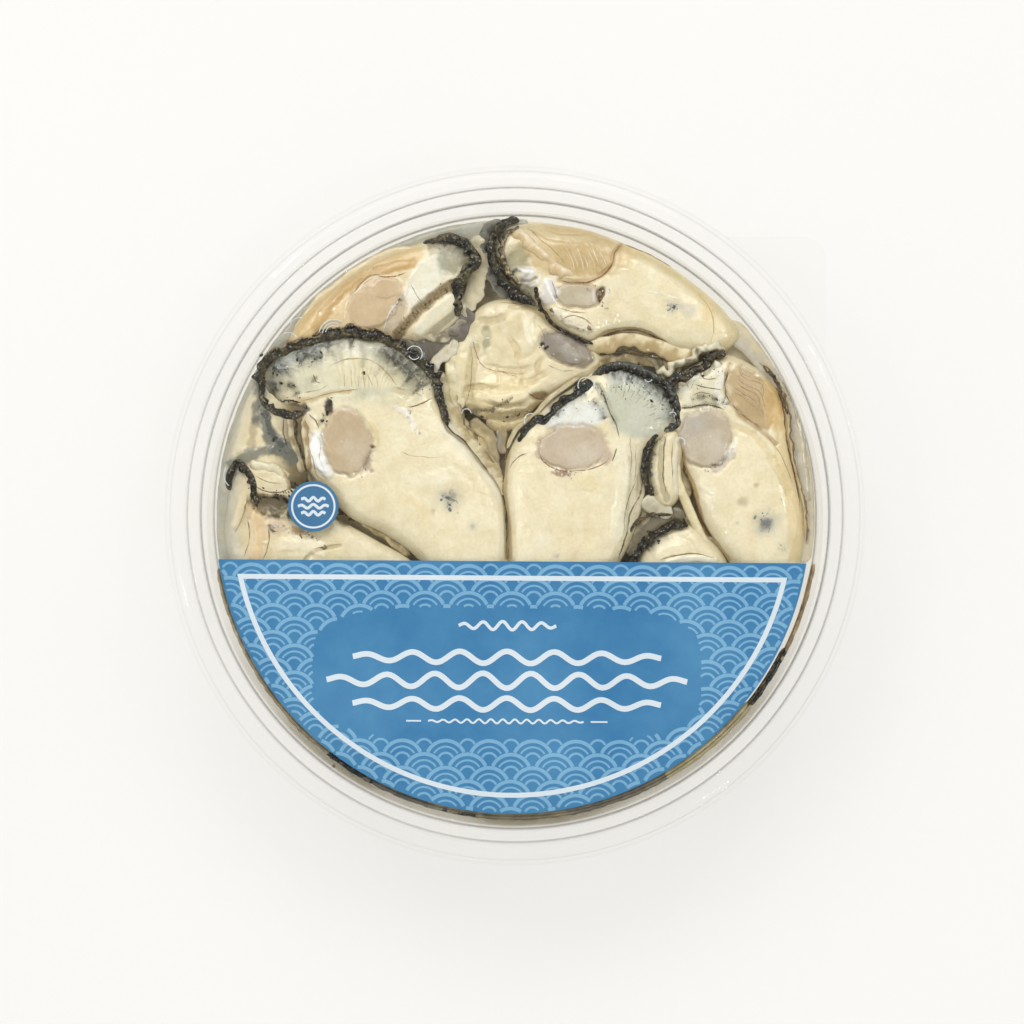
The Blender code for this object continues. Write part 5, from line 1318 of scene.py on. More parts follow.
def back_oyster():
    body = Body("oyster_back", OUTLINES["back"], (0, 34), 30.6, 28.0, 6.0, 330, 66, seed=61, wrinkle=0.42)
    body.blob(-3.0, 26.2, 7.6, 4.2, 8, (238, 220, 170), 0.7, 0.6, 0.4, 0.2)
    # Fold shading: the tan strokes pressed in carry painted shade in the hollows, the pale raised ones painted light on
    # the crests.
    body.stroke([(-10.0, 23.0), (-4.0, 21.4), (2.0, 21.8), (6.0, 24.6)], 1.0, (214, 190, 138), 0.7, -0.4, 0.5)
    body.blob(-11.4, 30.6, 2.4, 6.2, -6, (232, 220, 180), 0.8, 0.3, 0.3, 0.2)
    body.stroke([(-8.6, 38.0), (-9.2, 33.0), (-9.8, 28.0), (-10.6, 23.6)], 1.1, (206, 190, 146), 0.7, -0.6, 0.5, 0.15)
    body.stroke([(-7.4, 32.4), (-3.4, 31.4), (0.8, 31.0), (4.6, 32.2)], 0.9, (220, 202, 154), 0.6, -0.4, 0.6, 0.2)
    body.stroke([(-9.0, 26.6), (-4.0, 25.2), (2.0, 26.0), (7.4, 28.8)], 1.1, (246, 234, 198), 0.6, 0.45, 0.5, 0.2)
    body.stroke([(-2.6, 29.4), (3.0, 29.0), (8.0, 31.4)], 0.8, (214, 194, 146), 0.5, -0.35, 0.6, 0.25)
    body.stroke([(3.2, 44.4), (3.0, 40.0), (4.2, 36.0)], 1.3, (248, 240, 210), 0.6, 0.4, 0.5, 0.2)
    body.thread([(-9.3, 39.0), (-8.6, 35.6), (-7.2, 32.6), (-4.8, 31.4), (-2.3, 31.1), (0.4, 30.6), (2.6, 31.0)], 0.13,
                (150, 114, 54), 0.5)
    body.thread([(-3.4, 31.4), (-1.4, 30.4), (0.4, 30.0)], 0.1, (160, 128, 66), 0.6)
    body.thread([(-9.4, 36.4), (-9.2, 32.0), (-9.6, 28.0), (-10.4, 24.6)], 0.12, (160, 136, 88), 0.6)
    body.thread([(-12.2, 36.0), (-13.2, 33.0), (-13.0, 30.0)], 0.14, (140, 120, 80), 0.6)
    body.thread([(4.6, 41.6), (6.0, 39.4), (6.0, 37.6)], 0.08, (180, 150, 96), 0.7)
    body.thread([(6.6, 32.6), (9.6, 31.4), (12.6, 31.4)], 0.1, (176, 150, 100), 0.7)
    body.stroke([(-9.8, 22.6), (-5.9, 22.7), (-3.3, 23.7), (-0.9, 25.1)], 0.5, (150, 140, 110), 0.5, -0.3, 0.9)
    body.flecks([(-9.0, 22.9), (-5.9, 22.9), (-3.3, 23.8), (-0.9, 25.2)], 0.3, 44, (0.1, 0.34), (104, 96, 70),
                (150, 140, 110), 21)
    # Painted shadow: a brown hollow under the fold.
    body.blob(5.0, 25.9, 2.2, 0.9, 4, (156, 126, 76), 0.85, -0.8, 0.4, 0.3)
    body.thread([(2.6, 26.6), (4.6, 25.4), (7.0, 25.4), (8.6, 26.4)], 0.2, (120, 88, 42), 0.5)
    body.blob(-6.0, 38.8, 1.3, 3.2, 0, (156, 152, 116), 0.7, -0.3, 0.5, 0.6)
    body.blob(-8.2, 39.2, 1.3, 4.2, 4, (214, 204, 162), 0.6, 0.0, 0.5)
    # Painted glint: a short pure white line.
    body.thread([(-6.4, 38.2), (-5.4, 38.4)], 0.24, (255, 255, 255), 0.2)
    body.muscle(11.0, 36.0, 5.9, 3.1, -24, (144, 134, 120), (130, 108, 76), 0.4)
    # Fold hollows: each tan stroke pressed in carries painted shade.
    for line, half, tone, depth in (([(-11.8, 27.2), (-7.0, 27.8), (-2.6, 27.0)], 0.7, (196, 174, 120), -0.5),
                                    ([(-9.0, 42.4), (-5.0, 42.0), (-1.0, 43.4)], 0.8, (196, 180, 134), -0.4),
                                    ([(-1.6, 38.6), (0.6, 35.8), (0.2, 33.0)], 0.7, (214, 194, 144), -0.35),
                                    ([(6.4, 34.6), (4.8, 32.4), (5.4, 29.6)], 0.6, (206, 184, 132), -0.4),
                                    ([(-6.8, 25.0), (-2.2, 23.6), (3.4, 24.4)], 0.5, (168, 148, 100), -0.4)):
        body.stroke(line, half, tone, 0.6, depth, 0.9, 0.25)
    body.blob(-1.4, 21.8, 8.0, 1.3, 6, (176, 158, 112), 0.5, -0.2, 0.5, 0.8)
    body.fringe([(-11.2, 22.6), (-7.0, 21.6), (-1.6, 21.4), (2.6, 22.6)], 0.45, (112, 98, 64), (176, 162, 120), 0.6,
                0.1, 15)
    body.blob(5.9, 36.9, 0.6, 0.5, 0, DARK, 0.95, -0.3, 0.3)
    body.flecks([(5.6, 36.8), (6.2, 36.4)], 0.4, 10, (0.12, 0.3), seed=22)
    body.thread([(9.0, 33.2), (12.4, 32.6), (15.4, 33.4), (17.2, 35.2)], 0.14, (150, 124, 84), 0.7)
    body.stroke([(-1.0, 45.0), (3.6, 44.6), (7.0, 42.2)], 0.5, (204, 176, 120), 0.5, -0.2, 0.5)
    body.thread([(-3.4, 46.2), (0.4, 45.6), (4.0, 45.0)], 0.12, (180, 146, 90), 0.7)
    place(body.build())
    place(ribbon("oyster_back_flap", [(-12.4, 37.8), (-14.2, 36.0), (-16.6, 33.4), (-18.0, 30.0), (-16.4, 27.4)], 2.6,
                 0.9,
                 [29.4, 29.6, 29.4], (196, 186, 158), (226, 220, 200), (0.4, 3.4), (0.2, 1.6), look=FLESH, seed=62,
                 mottle=1.0))
    place(ribbon("oyster_back_lobe", [(-12.4, 37.4), (-13.2, 32.5), (-13.0, 27.6), (-11.6, 23.0)], 3.4, 1.5,
                 [29.0, 29.2, 28.6], (214, 202, 160), (234, 224, 190), (0.5, 3.6), (0.2, 2.4), look=FLESH, seed=63,
                 mottle=0.9))
    place(ribbon("oyster_back_mantle", [(-8.6, 43.6), (-12.0, 40.6), (-15.4, 37.8), (-19.4, 36.0), (-22.6, 34.0)],
                 8.0, 1.2,
                 [28.6, 28.9, 28.7], (124, 116, 106), (104, 98, 90), (0.5, 4.0), (0.2, 2.4), look=FLESH, seed=64,
                 mottle=1.0, fog=0.2))
    place(ribbon("oyster_back_mantle_fold", [(-10.4, 42.0), (-13.6, 39.6), (-16.8, 38.8), (-20.6, 38.0)], 2.4, 0.9,
                 [29.2, 29.4, 29.2], (150, 142, 124), (110, 104, 94), (0.6, 2.6), (0.3, 1.6), look=FLESH, seed=65,
                 mottle=1.0))


def gap_folds():
    """Backs and folds that show dimly between the upper oysters."""
    for index, (points, width, height, inner, outer) in enumerate((
            ([(-9.6, 20.6), (-6.6, 18.2), (-4.6, 14.6), (-3.8, 10.6)], 3.2, 28.2, (208, 190, 144), (160, 144, 104)),
            ([(-4.4, 20.4), (-2.8, 17.2), (-2.2, 13.4)], 2.4, 28.2, (146, 138, 122), (170, 152, 108)),
            ([(4.0, 21.6), (0.6, 19.6), (-3.0, 19.2), (-6.2, 20.6)], 2.6, 28.2, (204, 186, 138), (152, 134, 92)),
            ([(16.6, 34.4), (20.6, 33.4), (25.6, 34.0), (31.0, 33.4), (35.6, 31.0)], 3.4, 28.4, (196, 180, 134),
             (138, 122, 84)),
            ([(28.6, 34.8), (31.0, 32.2), (32.4, 29.0)], 2.2, 28.8, (160, 150, 118), (88, 78, 54)),
            ([(35.6, 19.6), (35.4, 14.6), (35.8, 9.0), (37.0, 4.0)], 2.2, 28.4, (176, 162, 122), (120, 106, 72)),
            ([(23.6, -6.6), (27.0, -1.6), (29.2, 3.6)], 2.6, 28.4, (170, 158, 122), (120, 110, 82)),
            ([(37.0, 0.6), (40.6, -4.4), (44.6, -9.4)], 2.6, 28.2, (186, 170, 124), (136, 122, 84)),
            ([(-43.6, 12.6), (-43.4, 8.6), (-41.4, 5.0)], 2.4, 28.6, (120, 106, 72), (84, 70, 44)),
            ([(-33.0, -1.2), (-27.6, -4.2), (-22.4, -8.4)], 2.0, 28.4, (206, 188, 140), (146, 126, 82)),
            ([(-24.6, 38.4), (-21.6, 36.0), (-18.8, 33.0)], 2.2, 28.8, (120, 112, 92), (84, 78, 60)))):
        place(ribbon(f"oyster_gap_{index}", points, width, 1.2, height, inner, outer, (0.45, 3.2), (0.2, 2.2),
                     look=FLESH, seed=401 + index, mottle=1.0, taper=0.2, fog=0.5, sections=12))


def low_left_oyster():
    body = Body("oyster_low_left", OUTLINES["low_left"], (-44, -7), 30.6, 28.2, 5.5, 300, 56, seed=71)
    body.paint(step(-body.x, 46, 54) * 0.6, (230, 210, 168))
    body.blob(-52.4, 8.2, 4.4, 2.8, 8, (222, 210, 174), 0.9, 0.3, 0.3, 0.3)
    rim_far = np.hypot(body.x, body.y)
    body.paint(step(rim_far, 57.0, 61.5) * 0.75, (184, 184, 172))
    body.blob(-51.6, 2.4, 5.4, 2.3, -10, (84, 72, 46), 0.95, -1.2, 0.3, 0.5)
    body.blob(-50.6, 2.2, 3.6, 1.4, -10, (132, 120, 88), 0.35, -0.2, 0.6, 0.8)
    body.fringe([(-56.4, 3.0), (-53.6, 0.4), (-49.6, -0.2), (-46.2, 0.6)], 0.7, (64, 52, 32), (140, 126, 90), 0.9,
                0.1, 16)
    body.blob(-47.4, 7.6, 1.5, 1.8, 0, (52, 40, 32), 0.95, -0.8, 0.3, 0.4)
    body.flecks([(-56.6, 4.2), (-53.0, 4.2), (-48.8, 5.0), (-47.0, 7.6)], 0.7, 60, (0.12, 0.36), seed=23)
    body.thread([(-56.2, 6.8), (-53.6, 5.4), (-50.2, 5.2), (-47.6, 6.4)], 0.2, (104, 84, 48), 0.5)
    body.thread([(-55.6, 8.6), (-53.0, 7.4), (-50.0, 7.0)], 0.14, (150, 130, 88), 0.6)
    body.stroke([(-56.6, 5.6), (-57.0, 1.6), (-59.0, -3.2)], 0.8, (196, 178, 140), 0.6, -0.3, 0.9, 0.25)
    body.stroke([(-58.6, 5.0), (-59.4, 0.6), (-61.0, -4.0)], 0.8, (236, 222, 186), 0.6, 0.3, 0.9, 0.25)
    body.thread([(-57.4, 4.6), (-58.0, 1.0), (-60.0, -3.6)], 0.16, (156, 130, 84), 0.6)
    body.stroke([(-55.6, 0.6), (-54.4, -3.6), (-55.6, -8.6)], 1.3, (226, 198, 152), 0.75, 0.4, 0.7)
    body.thread([(-53.0, -1.6), (-52.6, -5.2), (-54.0, -9.4)], 0.17, (150, 120, 74), 0.5)
    body.thread([(-57.4, 0.0), (-56.8, -4.0), (-58.0, -8.8)], 0.15, (160, 132, 88), 0.6)
    body.stroke([(-51.6, -6.4), (-46.0, -6.0), (-40.0, -7.6)], 1.4, (250, 240, 212), 0.5, 0.25, 0.8, 0.2)
    body.blob(-51.0, -2.2, 2.4, 1.6, -10, (220, 196, 162), 0.9, 0.4, 0.4, 0.5)
    # Painted glints: near-white flakes on the pinkish bumps, among brown ones.
    body.flecks([(-52.6, -2.0), (-51.0, -2.4), (-49.2, -2.6)], 0.7, 40, (0.12, 0.36), (150, 120, 84), (255, 252, 246),
                24)
    # Painted shade: a brown patch pressed in, with brown flakes whose near-white ones are painted glints.
    body.blob(-46.4, -3.2, 2.4, 1.2, 10, (190, 158, 108), 0.8, -0.2, 0.5, 0.6)
    body.flecks([(-48.0, -3.2), (-45.0, -4.0), (-42.0, -5.0)], 0.8, 36, (0.12, 0.34), (130, 96, 56), (240, 226, 196),
                25)
    body.stroke([(-45.0, -9.6), (-42.4, -7.4), (-37.6, -6.4)], 0.5, (190, 168, 120), 0.5, -0.3, 0.5)
    # Painted shadow: a dark brown hollow right of the badge, with dark flakes in it.
    body.blob(-36.6, 0.4, 3.2, 2.2, -35, (84, 66, 42), 0.9, -0.8, 0.3, 0.5)
    body.flecks([(-38.6, 2.6), (-36.0, 0.6), (-33.4, -1.0)], 0.8, 44, (0.14, 0.4), (60, 46, 28), (150, 126, 86), 26)
    body.thread([(-37.2, 1.6), (-34.4, 0.2), (-31.6, -0.6)], 0.24, (240, 234, 214), 0.5)
    body.thread([(-36.6, 2.6), (-33.2, 0.1), (-30.2, -0.6), (-25.2, -2.7), (-21.3, -6.0), (-19.7, -6.9)], 0.26,
                (104, 76, 38), 0.4)
    place(body.build())
    place(ribbon("oyster_low_left_curl",
                 [(-61.2, 5.6), (-61.2, 9.4), (-59.4, 11.4), (-57.6, 10.0), (-56.2, 7.2), (-56.2, 4.4), (-55.0, 2.8)],
                 1.7, 1.7, [29.2, 30.2, 30.6, 30.4, 29.8], (84, 82, 62), (34, 32, 24), (0.3, 2.6), (0.3, 1.4),
                 seed=72, side=-1))
    place(ribbon("oyster_low_left_flap", [(-57.0, 10.8), (-53.6, 10.6), (-50.6, 9.6), (-49.4, 7.4)], 2.6, 1.7,
                 [29.2, 30.0, 29.8], (216, 206, 168), (232, 224, 196), (0.5, 2.8), look=FLESH, seed=73, mottle=0.25))
    place(ribbon("oyster_low_left_collar", [(-49.6, 9.6), (-48.6, 6.8), (-48.8, 4.6)], 1.4, 1.3, [30.2, 30.2, 29.8],
                 (226, 214, 180), (176, 158, 116), (0.3, 2.2), look=FLESH, seed=74, mottle=0.4, taper=0.3))


def low_middle_oyster():
    body = Body("oyster_low_middle", OUTLINES["low_middle"], (36, -12), 30.4, 28.0, 4.5, 200, 40, seed=83)
    body.blob(33.4, -8.2, 4.0, 2.6, 20, (244, 232, 196), 0.7, 0.4, 0.5)
    body.thread([(31.0, -9.4), (35.6, -8.2), (39.2, -8.2), (42.6, -9.0)], 0.2, (150, 118, 66), 0.5)
    body.stroke([(33.0, -10.2), (38.0, -9.2), (43.0, -9.6)], 0.8, PALE, 0.7, 0.3, 0.5)
    body.fringe([(26.0, -10.0), (27.4, -7.4), (29.8, -5.6), (32.6, -3.6)], 0.8, DARK, (120, 114, 90), 0.9, 0.1, 8)
    place(body.build())
    place(ribbon("oyster_low_middle_fringe",
                 [(24.8, -11.0), (25.6, -8.4), (27.0, -6.0), (29.0, -4.8), (30.7, -3.2), (32.7, -2.3), (37.2, -1.9)],
                 2.1, 1.8, [30.0, 30.6, 30.4, 30.0], (66, 60, 42), DARK, (0.5, 2.0), (0.4, 1.0), seed=84))
    place(ribbon("oyster_low_middle_wing", [(27.2, 3.4), (29.6, 2.2), (31.8, 1.0), (31.4, -0.4)], 3.6, 1.1, 29.3,
                 (186, 180, 156), (212, 206, 182), (0.3, 3.0), look=FLESH, seed=85, taper=0.3, mottle=0.7))
    place(ribbon("oyster_low_middle_fold", [(21.9, -9.1), (22.8, -6.4), (24.3, -3.8), (27.0, -0.6), (30.6, 0.4),
                                            (33.8, 0.2)],
                 0.8, 0.9, 29.4, (104, 88, 56), (58, 48, 30), (0.2, 3.0), (0.3, 1.2), seed=86))
    place(ribbon("oyster_low_middle_shade", [(24.4, -8.4), (26.6, -4.0), (29.8, -1.4), (34.4, 1.2), (36.8, -0.6)],
                 3.0, 1.4,
                 28.4, (140, 132, 106), (112, 104, 82), (0.3, 3.0), look=FLESH, seed=87, mottle=0.5, fog=0.3))


def under_oysters():
    """The three oysters whose backs the label covers."""
    for index, (name, centre, muscle) in enumerate((("under_left", (-34, -38), (-34, -34, 6.0, 5.0, 20)),
                                                    ("under_middle", (2, -40), (4, -35, 5.2, 6.6, 0)),
                                                    ("under_right", (38, -36), (37, -33, 6.0, 5.2, 60)))):
        body = Body("oyster_" + name, OUTLINES[name], centre, 30.6, 27.4, 7.0, 150, 26, seed=91 + index)
        body.muscle(*muscle)
        place(body.build())
    cream = (216, 206, 170)
    olive = (150, 138, 108)
    for name, start, end, width, inner, outer, look in (
            ("pale_left", 190, 215, 1.6, cream, (176, 162, 126), FLESH),
            ("cream_left", 212, 234, 2.0, (206, 190, 150), (170, 156, 118), FLESH),
            ("dark_left", 231, 242, 2.2, (84, 76, 54), DARK, None),
            ("grey_left", 239, 254, 2.2, (140, 130, 106), (108, 102, 82), FLESH),
            ("cream_middle", 251, 281, 2.2, (196, 184, 144), olive, FLESH),
            ("dark_middle", 255, 263, 1.0, (110, 100, 74), DARK, None),
            ("grey_right", 279, 302, 2.2, (164, 150, 128), (136, 126, 104), FLESH),
            ("cream_right", 299, 322, 2.4, (228, 216, 172), (206, 190, 142), FLESH),
            ("dark_right", 319, 334, 1.8, (96, 84, 58), DARK, None),
            ("tan_right", 331, 351, 1.4, (206, 182, 136), (150, 122, 78), FLESH)):
        path = [tuple(spot) for spot in arc(0, 0, 64.5 if width > 1.5 else 64.9, start, end,
                                            2 + int((end - start) / 3))]
        place(ribbon("oyster_rim_" + name, path, width, 1.2, 31.2, inner, outer, (0.15, 3.0), (0.3, 1.6), look=look,
                     seed=int(start), side=-1, mottle=0.8, taper=0.1))


def stretched_ball(name, rows, columns, shape, colour, seed, fog=0.35):
    """A closed ball of flesh, its unit points placed by a function, with a dark mantle line."""
    unit = unit_ball(rows, columns)
    verts = shape(unit)
    lumps = noise(verts[:, 0], verts[:, 1], verts[:, 2], 6.0, seed, 3)
    tint = np.tile(np.array(linear(colour)), (len(verts), 1))
    wander = 0.12 * noise(unit[:, 0] * 3, unit[:, 1] * 3, unit[:, 2] * 3, 1.0, seed + 1, 2)
    edge = np.exp(-((unit[:, 2] + 0.35 + wander) / 0.10) ** 2) * step(unit[:, 0], -0.7, 0.1)
    line = np.exp(-((unit[:, 2] - 0.25 + wander) / 0.035) ** 2)
    for mask, paint in ((step(lumps, 0.0, 0.8) * 0.4, CREAM), (line * 0.6, (150, 122, 72)), (edge * 0.85, OLIVE)):
        tint = blended(tint, mask, linear(paint))
    return make_mesh(name, *closed_grid(verts[:-2], columns, verts[-2:]), FLESH, murky(verts[:, 2], tint, fog))


def wall_oysters():
    """Oysters that lie along the wall, seen only from the sides."""
    for index in range(WALL_COUNT):
        bearing = FULL_TURN * (index + 0.22 * math.sin(2.4 * index)) / WALL_COUNT
        height = (10.0 if index % 2 else 18.0) + 2.2 * math.sin(1.9 * index)
        size = 1.0 + 0.2 * math.sin(3.1 * index + 1.0)
        lean = 0.6 * math.sin(2.2 * index + 0.4)
        half_length, half_thick, half_height = (size * v for v in WALL_OYSTER)
        radius = tub_inside(height) - WALL_OYSTER[1]

        def shape(unit):
            along = unit[:, 0] * half_length * math.cos(lean) - unit[:, 2] * half_height * math.sin(lean)
            up = unit[:, 0] * half_length * math.sin(lean) + unit[:, 2] * half_height * math.cos(lean)
            z = np.clip(height + up, FLOOR_Z + 0.6, CORE_TOP + 4.0)
            angle = bearing + along / radius
            up = up + 1.8 * noise(along, up, 3, 8.0, 260 + index, 2)
            bump_out = 1.2 * noise(along, up, 0, 6.0, 200 + index, 3)
            distance = radius + unit[:, 1] * half_thick * 1.25 + bump_out + tub_inside(z) - tub_inside(height)
            x, y = keep_inside(distance * np.cos(angle), distance * np.sin(angle), z, 0.1)
            return np.column_stack([x, y, z])

        place(stretched_ball(f"oyster_wall_{index}", 34, 56, shape, SIDE_COLOURS[index % 4], 210 + index))


def floor_oysters():
    """Oysters pressed flat on the base, seen only from below."""
    for index in range(FLOOR_COUNT):
        bearing = FULL_TURN * (index + 0.3 * math.sin(1.7 * index)) / FLOOR_COUNT
        distance = 25.0 + 4.0 * math.sin(2.9 * index)
        turn = bearing + 0.9 * math.sin(2.1 * index + 0.7)
        half_length, half_width, half_thick = (1.15 * v for v in FLOOR_OYSTER)

        def shape(unit):
            x = unit[:, 0] * half_length * math.cos(turn) - unit[:, 1] * half_width * math.sin(turn)
            y = unit[:, 0] * half_length * math.sin(turn) + unit[:, 1] * half_width * math.cos(turn)
            z = CORE_LOW + np.maximum(unit[:, 2] * half_thick, FLOOR_Z - CORE_LOW - 0.2)
            x, y = keep_inside(distance * math.cos(bearing) + x, distance * math.sin(bearing) + y, z, 2.0)
            return np.column_stack([x, y, z])

        place(stretched_ball(f"oyster_floor_{index}", 24, 50, shape, SIDE_COLOURS[(index + 1) % 4], 240 + index, 0.5))


def heap_core():
    """The bed under the oysters that show: blurred backs and folds down in the liquid."""
    rings = 60
    around = 200
    share = np.linspace(0.01, 1, rings)
    turn = np.linspace(0, FULL_TURN, around, endpoint=False)
    outer = tub_inside(CORE_TOP) - 1.2
    x = (share[:, None] * outer * np.cos(turn)).ravel()
    y = (share[:, None] * outer * np.sin(turn)).ravel()
    humps = noise(x, y, 0, 17.0, 300, 2)
    z = CORE_TOP + 2.2 + 2.6 * humps + 0.3 * noise(x, y, 0, 4.0, 304, 2)
    tint = np.tile(np.array(linear((212, 196, 154))), (len(x), 1))
    tone = noise(x, y, 0, 9.0, 310, 3)
    for mask, paint in ((step(tone, 0.1, 0.6) * 0.8, (232, 218, 178)), (step(-tone, 0.1, 0.6) * 0.8, (156, 146, 118)),
                        (step(noise(x, y, 0, 11.0, 320, 2), 0.4, 0.7) * 0.7, (110, 108, 96))):
        tint = blended(tint, mask, linear(paint))
    x, y = keep_inside(x, y, z, 0.8)
    layers = [np.column_stack([x, y, z])]
    tints = [tint]
    for height in (CORE_TOP - 2, 14.0, 8.0, CORE_LOW, CORE_LOW - 1.0):
        inset = 1.4 + 1.2 * noise(60 * np.cos(turn), 60 * np.sin(turn), height, 12.0, 330, 2)
        if height < CORE_LOW:
            inset = inset + 8.0
        radius = tub_inside(height) - np.maximum(inset, 0.3)
        layers.append(np.column_stack([radius * np.cos(turn), radius * np.sin(turn), np.full(around, height)]))
        tints.append(np.tile(np.array(linear((206, 192, 152))), (around, 1)))
    verts = np.vstack(layers)
    verts, faces = closed_grid(verts, around, end_means(verts, around))
    colours = np.vstack(tints)
    colours = murky(verts[:, 2], np.vstack([colours, colours[0], colours[-1]]), 0.75)
    place(make_mesh("oyster_bed", verts, faces, FLESH, colours), "oysters", slot="oyster_flesh")


def liquor():
    """The liquid round the oysters, which reaches just into the tub's wall and climbs it at the front."""
    bite = 0.15
    climb = 2.6
    climb_from = 63.2
    brim = LIQUID_Z + 0.9
    profile = [(0.0, LIQUID_Z), (tub_inside(LIQUID_Z) - 3.0, LIQUID_Z), (tub_inside(brim) - 0.8, brim - 0.25),
               (tub_inside(brim) + bite, brim), (BASE_R + bite, FLOOR_Z - 0.2),
               (BASE_R - 1.4, 1.1), (BASE_R - 3.0, 0.7), (48.0, 0.7), (46.2, 1.85), (0.0, 1.85)]
    made = place(turned("oyster_liquor", rounded(profile, 0.4), LIQUOR))
    for vert in made.data.vertices:
        x, y, z = (v / MM for v in vert.co)
        radius = math.hypot(x, y)
        near = max(0.0, min(1.0, z - LIQUID_Z + 0.4)) * max(0.0, min(1.0, (radius - climb_from) / 2.0))
        if near > 0:
            front = max(0.0, min(1.0, 0.5 - 1.1 * y / radius))
            rise = climb * near * front
            stretch = 1 + rise * (MOUTH_R - BASE_R) / (MOUTH_Z - FLOOR_Z) / radius
            vert.co = (x * stretch * MM, y * stretch * MM, (z + rise) * MM)


def bubbles():
    """Small bubbles that cling where the liquid meets the lid, and painted highlight arcs of the menisci."""
    spots = [(-11.7, 22.2, 0.5), (-11.5, 20.9, 0.4), (-8.6, 21.9, 0.45), (35.2, 15.9, 0.75), (-5.9, 38.4, 0.35),
             (-48.9, -1.6, 0.4), (-47.6, -1.4, 0.3), (-46.4, -2.0, 0.35), (-50.0, -2.4, 0.3), (-12.4, 38.0, 0.3),
             (36.0, -3.0, 0.3), (31.6, -3.6, 0.35), (-38.8, -53.6, 0.4)]
    rows = 14
    columns = 24
    unit = unit_ball(rows, columns)
    for index, (x, y, radius) in enumerate(spots):
        verts = unit * np.array([radius, radius, radius * 0.7]) + np.array([x, y, LIQUID_Z])
        place(make_mesh(f"bubble_{index}", *closed_grid(verts[:-2], columns, verts[-2:]), LID_SHEET))
    arcs = [((-46.0, 40.0), 2.6, 80, 150), ((-9.0, 36.8), 0.8, 20, 160), ((28.6, 29.6), 0.8, 200, 340),
            ((33.8, 21.6), 0.7, 0, 150),
            ((-21.6, 34.8), 1.7, -40, 150), ((-21.6, 34.8), 1.2, 200, 330), ((-38.8, 39.0), 3.2, 60, 170),
            ((-38.8, 39.0), 2.5, 70, 175), ((-38.8, 39.0), 1.9, 60, 165), ((-48.6, 37.4), 2.0, 30, 120),
            ((15.3, 28.0), 1.8, -60, 200), ((3.4, 20.6), 1.4, 60, 220), ((35.4, 15.8), 1.0, -30, 200),
            ((-59.4, 8.8), 3.0, 150, 230), ((-10.4, 22.0), 1.0, 0, 180)]
    # Menisci: thin white arcs in the label's white ink, painted highlights where the liquid meets the lid.
    lines = [(arc(x, y, radius, low, high, 30), 0.16, False) for (x, y), radius, low, high in arcs]
    place(strips("meniscus_highlight_lines", lines, 31.3, 31.5, WHITE_INK))


# Tub and lid

def tub():
    kick_r = 46.0
    kick_z = 1.2
    lip_z = FLANGE_Z - 2.2
    inside = [(0.0, kick_z + SHEET), (kick_r + 0.3, kick_z + SHEET), (kick_r + 2.0, SHEET), (BASE_R - 2.2, SHEET),
              (BASE_R - 0.5, SHEET + 0.5), (BASE_R + 0.3, FLOOR_Z), (MOUTH_R + 0.3, MOUTH_Z),
              (MOUTH_R + 0.5, FLANGE_Z - 0.5)]
    flange = [(MOUTH_R + 0.9, FLANGE_Z), (FLANGE_R - 0.6, FLANGE_Z), (FLANGE_R, FLANGE_Z - 0.4), (FLANGE_R, lip_z),
              (FLANGE_R - SHEET, lip_z), (FLANGE_R - SHEET, FLANGE_Z - SHEET), (MOUTH_R + 1.2, FLANGE_Z - SHEET),
              (MOUTH_R + 0.8, MOUTH_Z - 0.3)]
    outside = [(BASE_R + 0.8, FLOOR_Z - 0.4), (BASE_R, 0.5), (BASE_R - 1.2, 0.0), (kick_r + 1.4, 0.0),
               (kick_r - 0.3, kick_z), (0.0, kick_z)]
    place(turned("tub_sheet", rounded(inside + flange + outside, 0.35), TUB_SHEET), "tub", slot="tub_sheet")


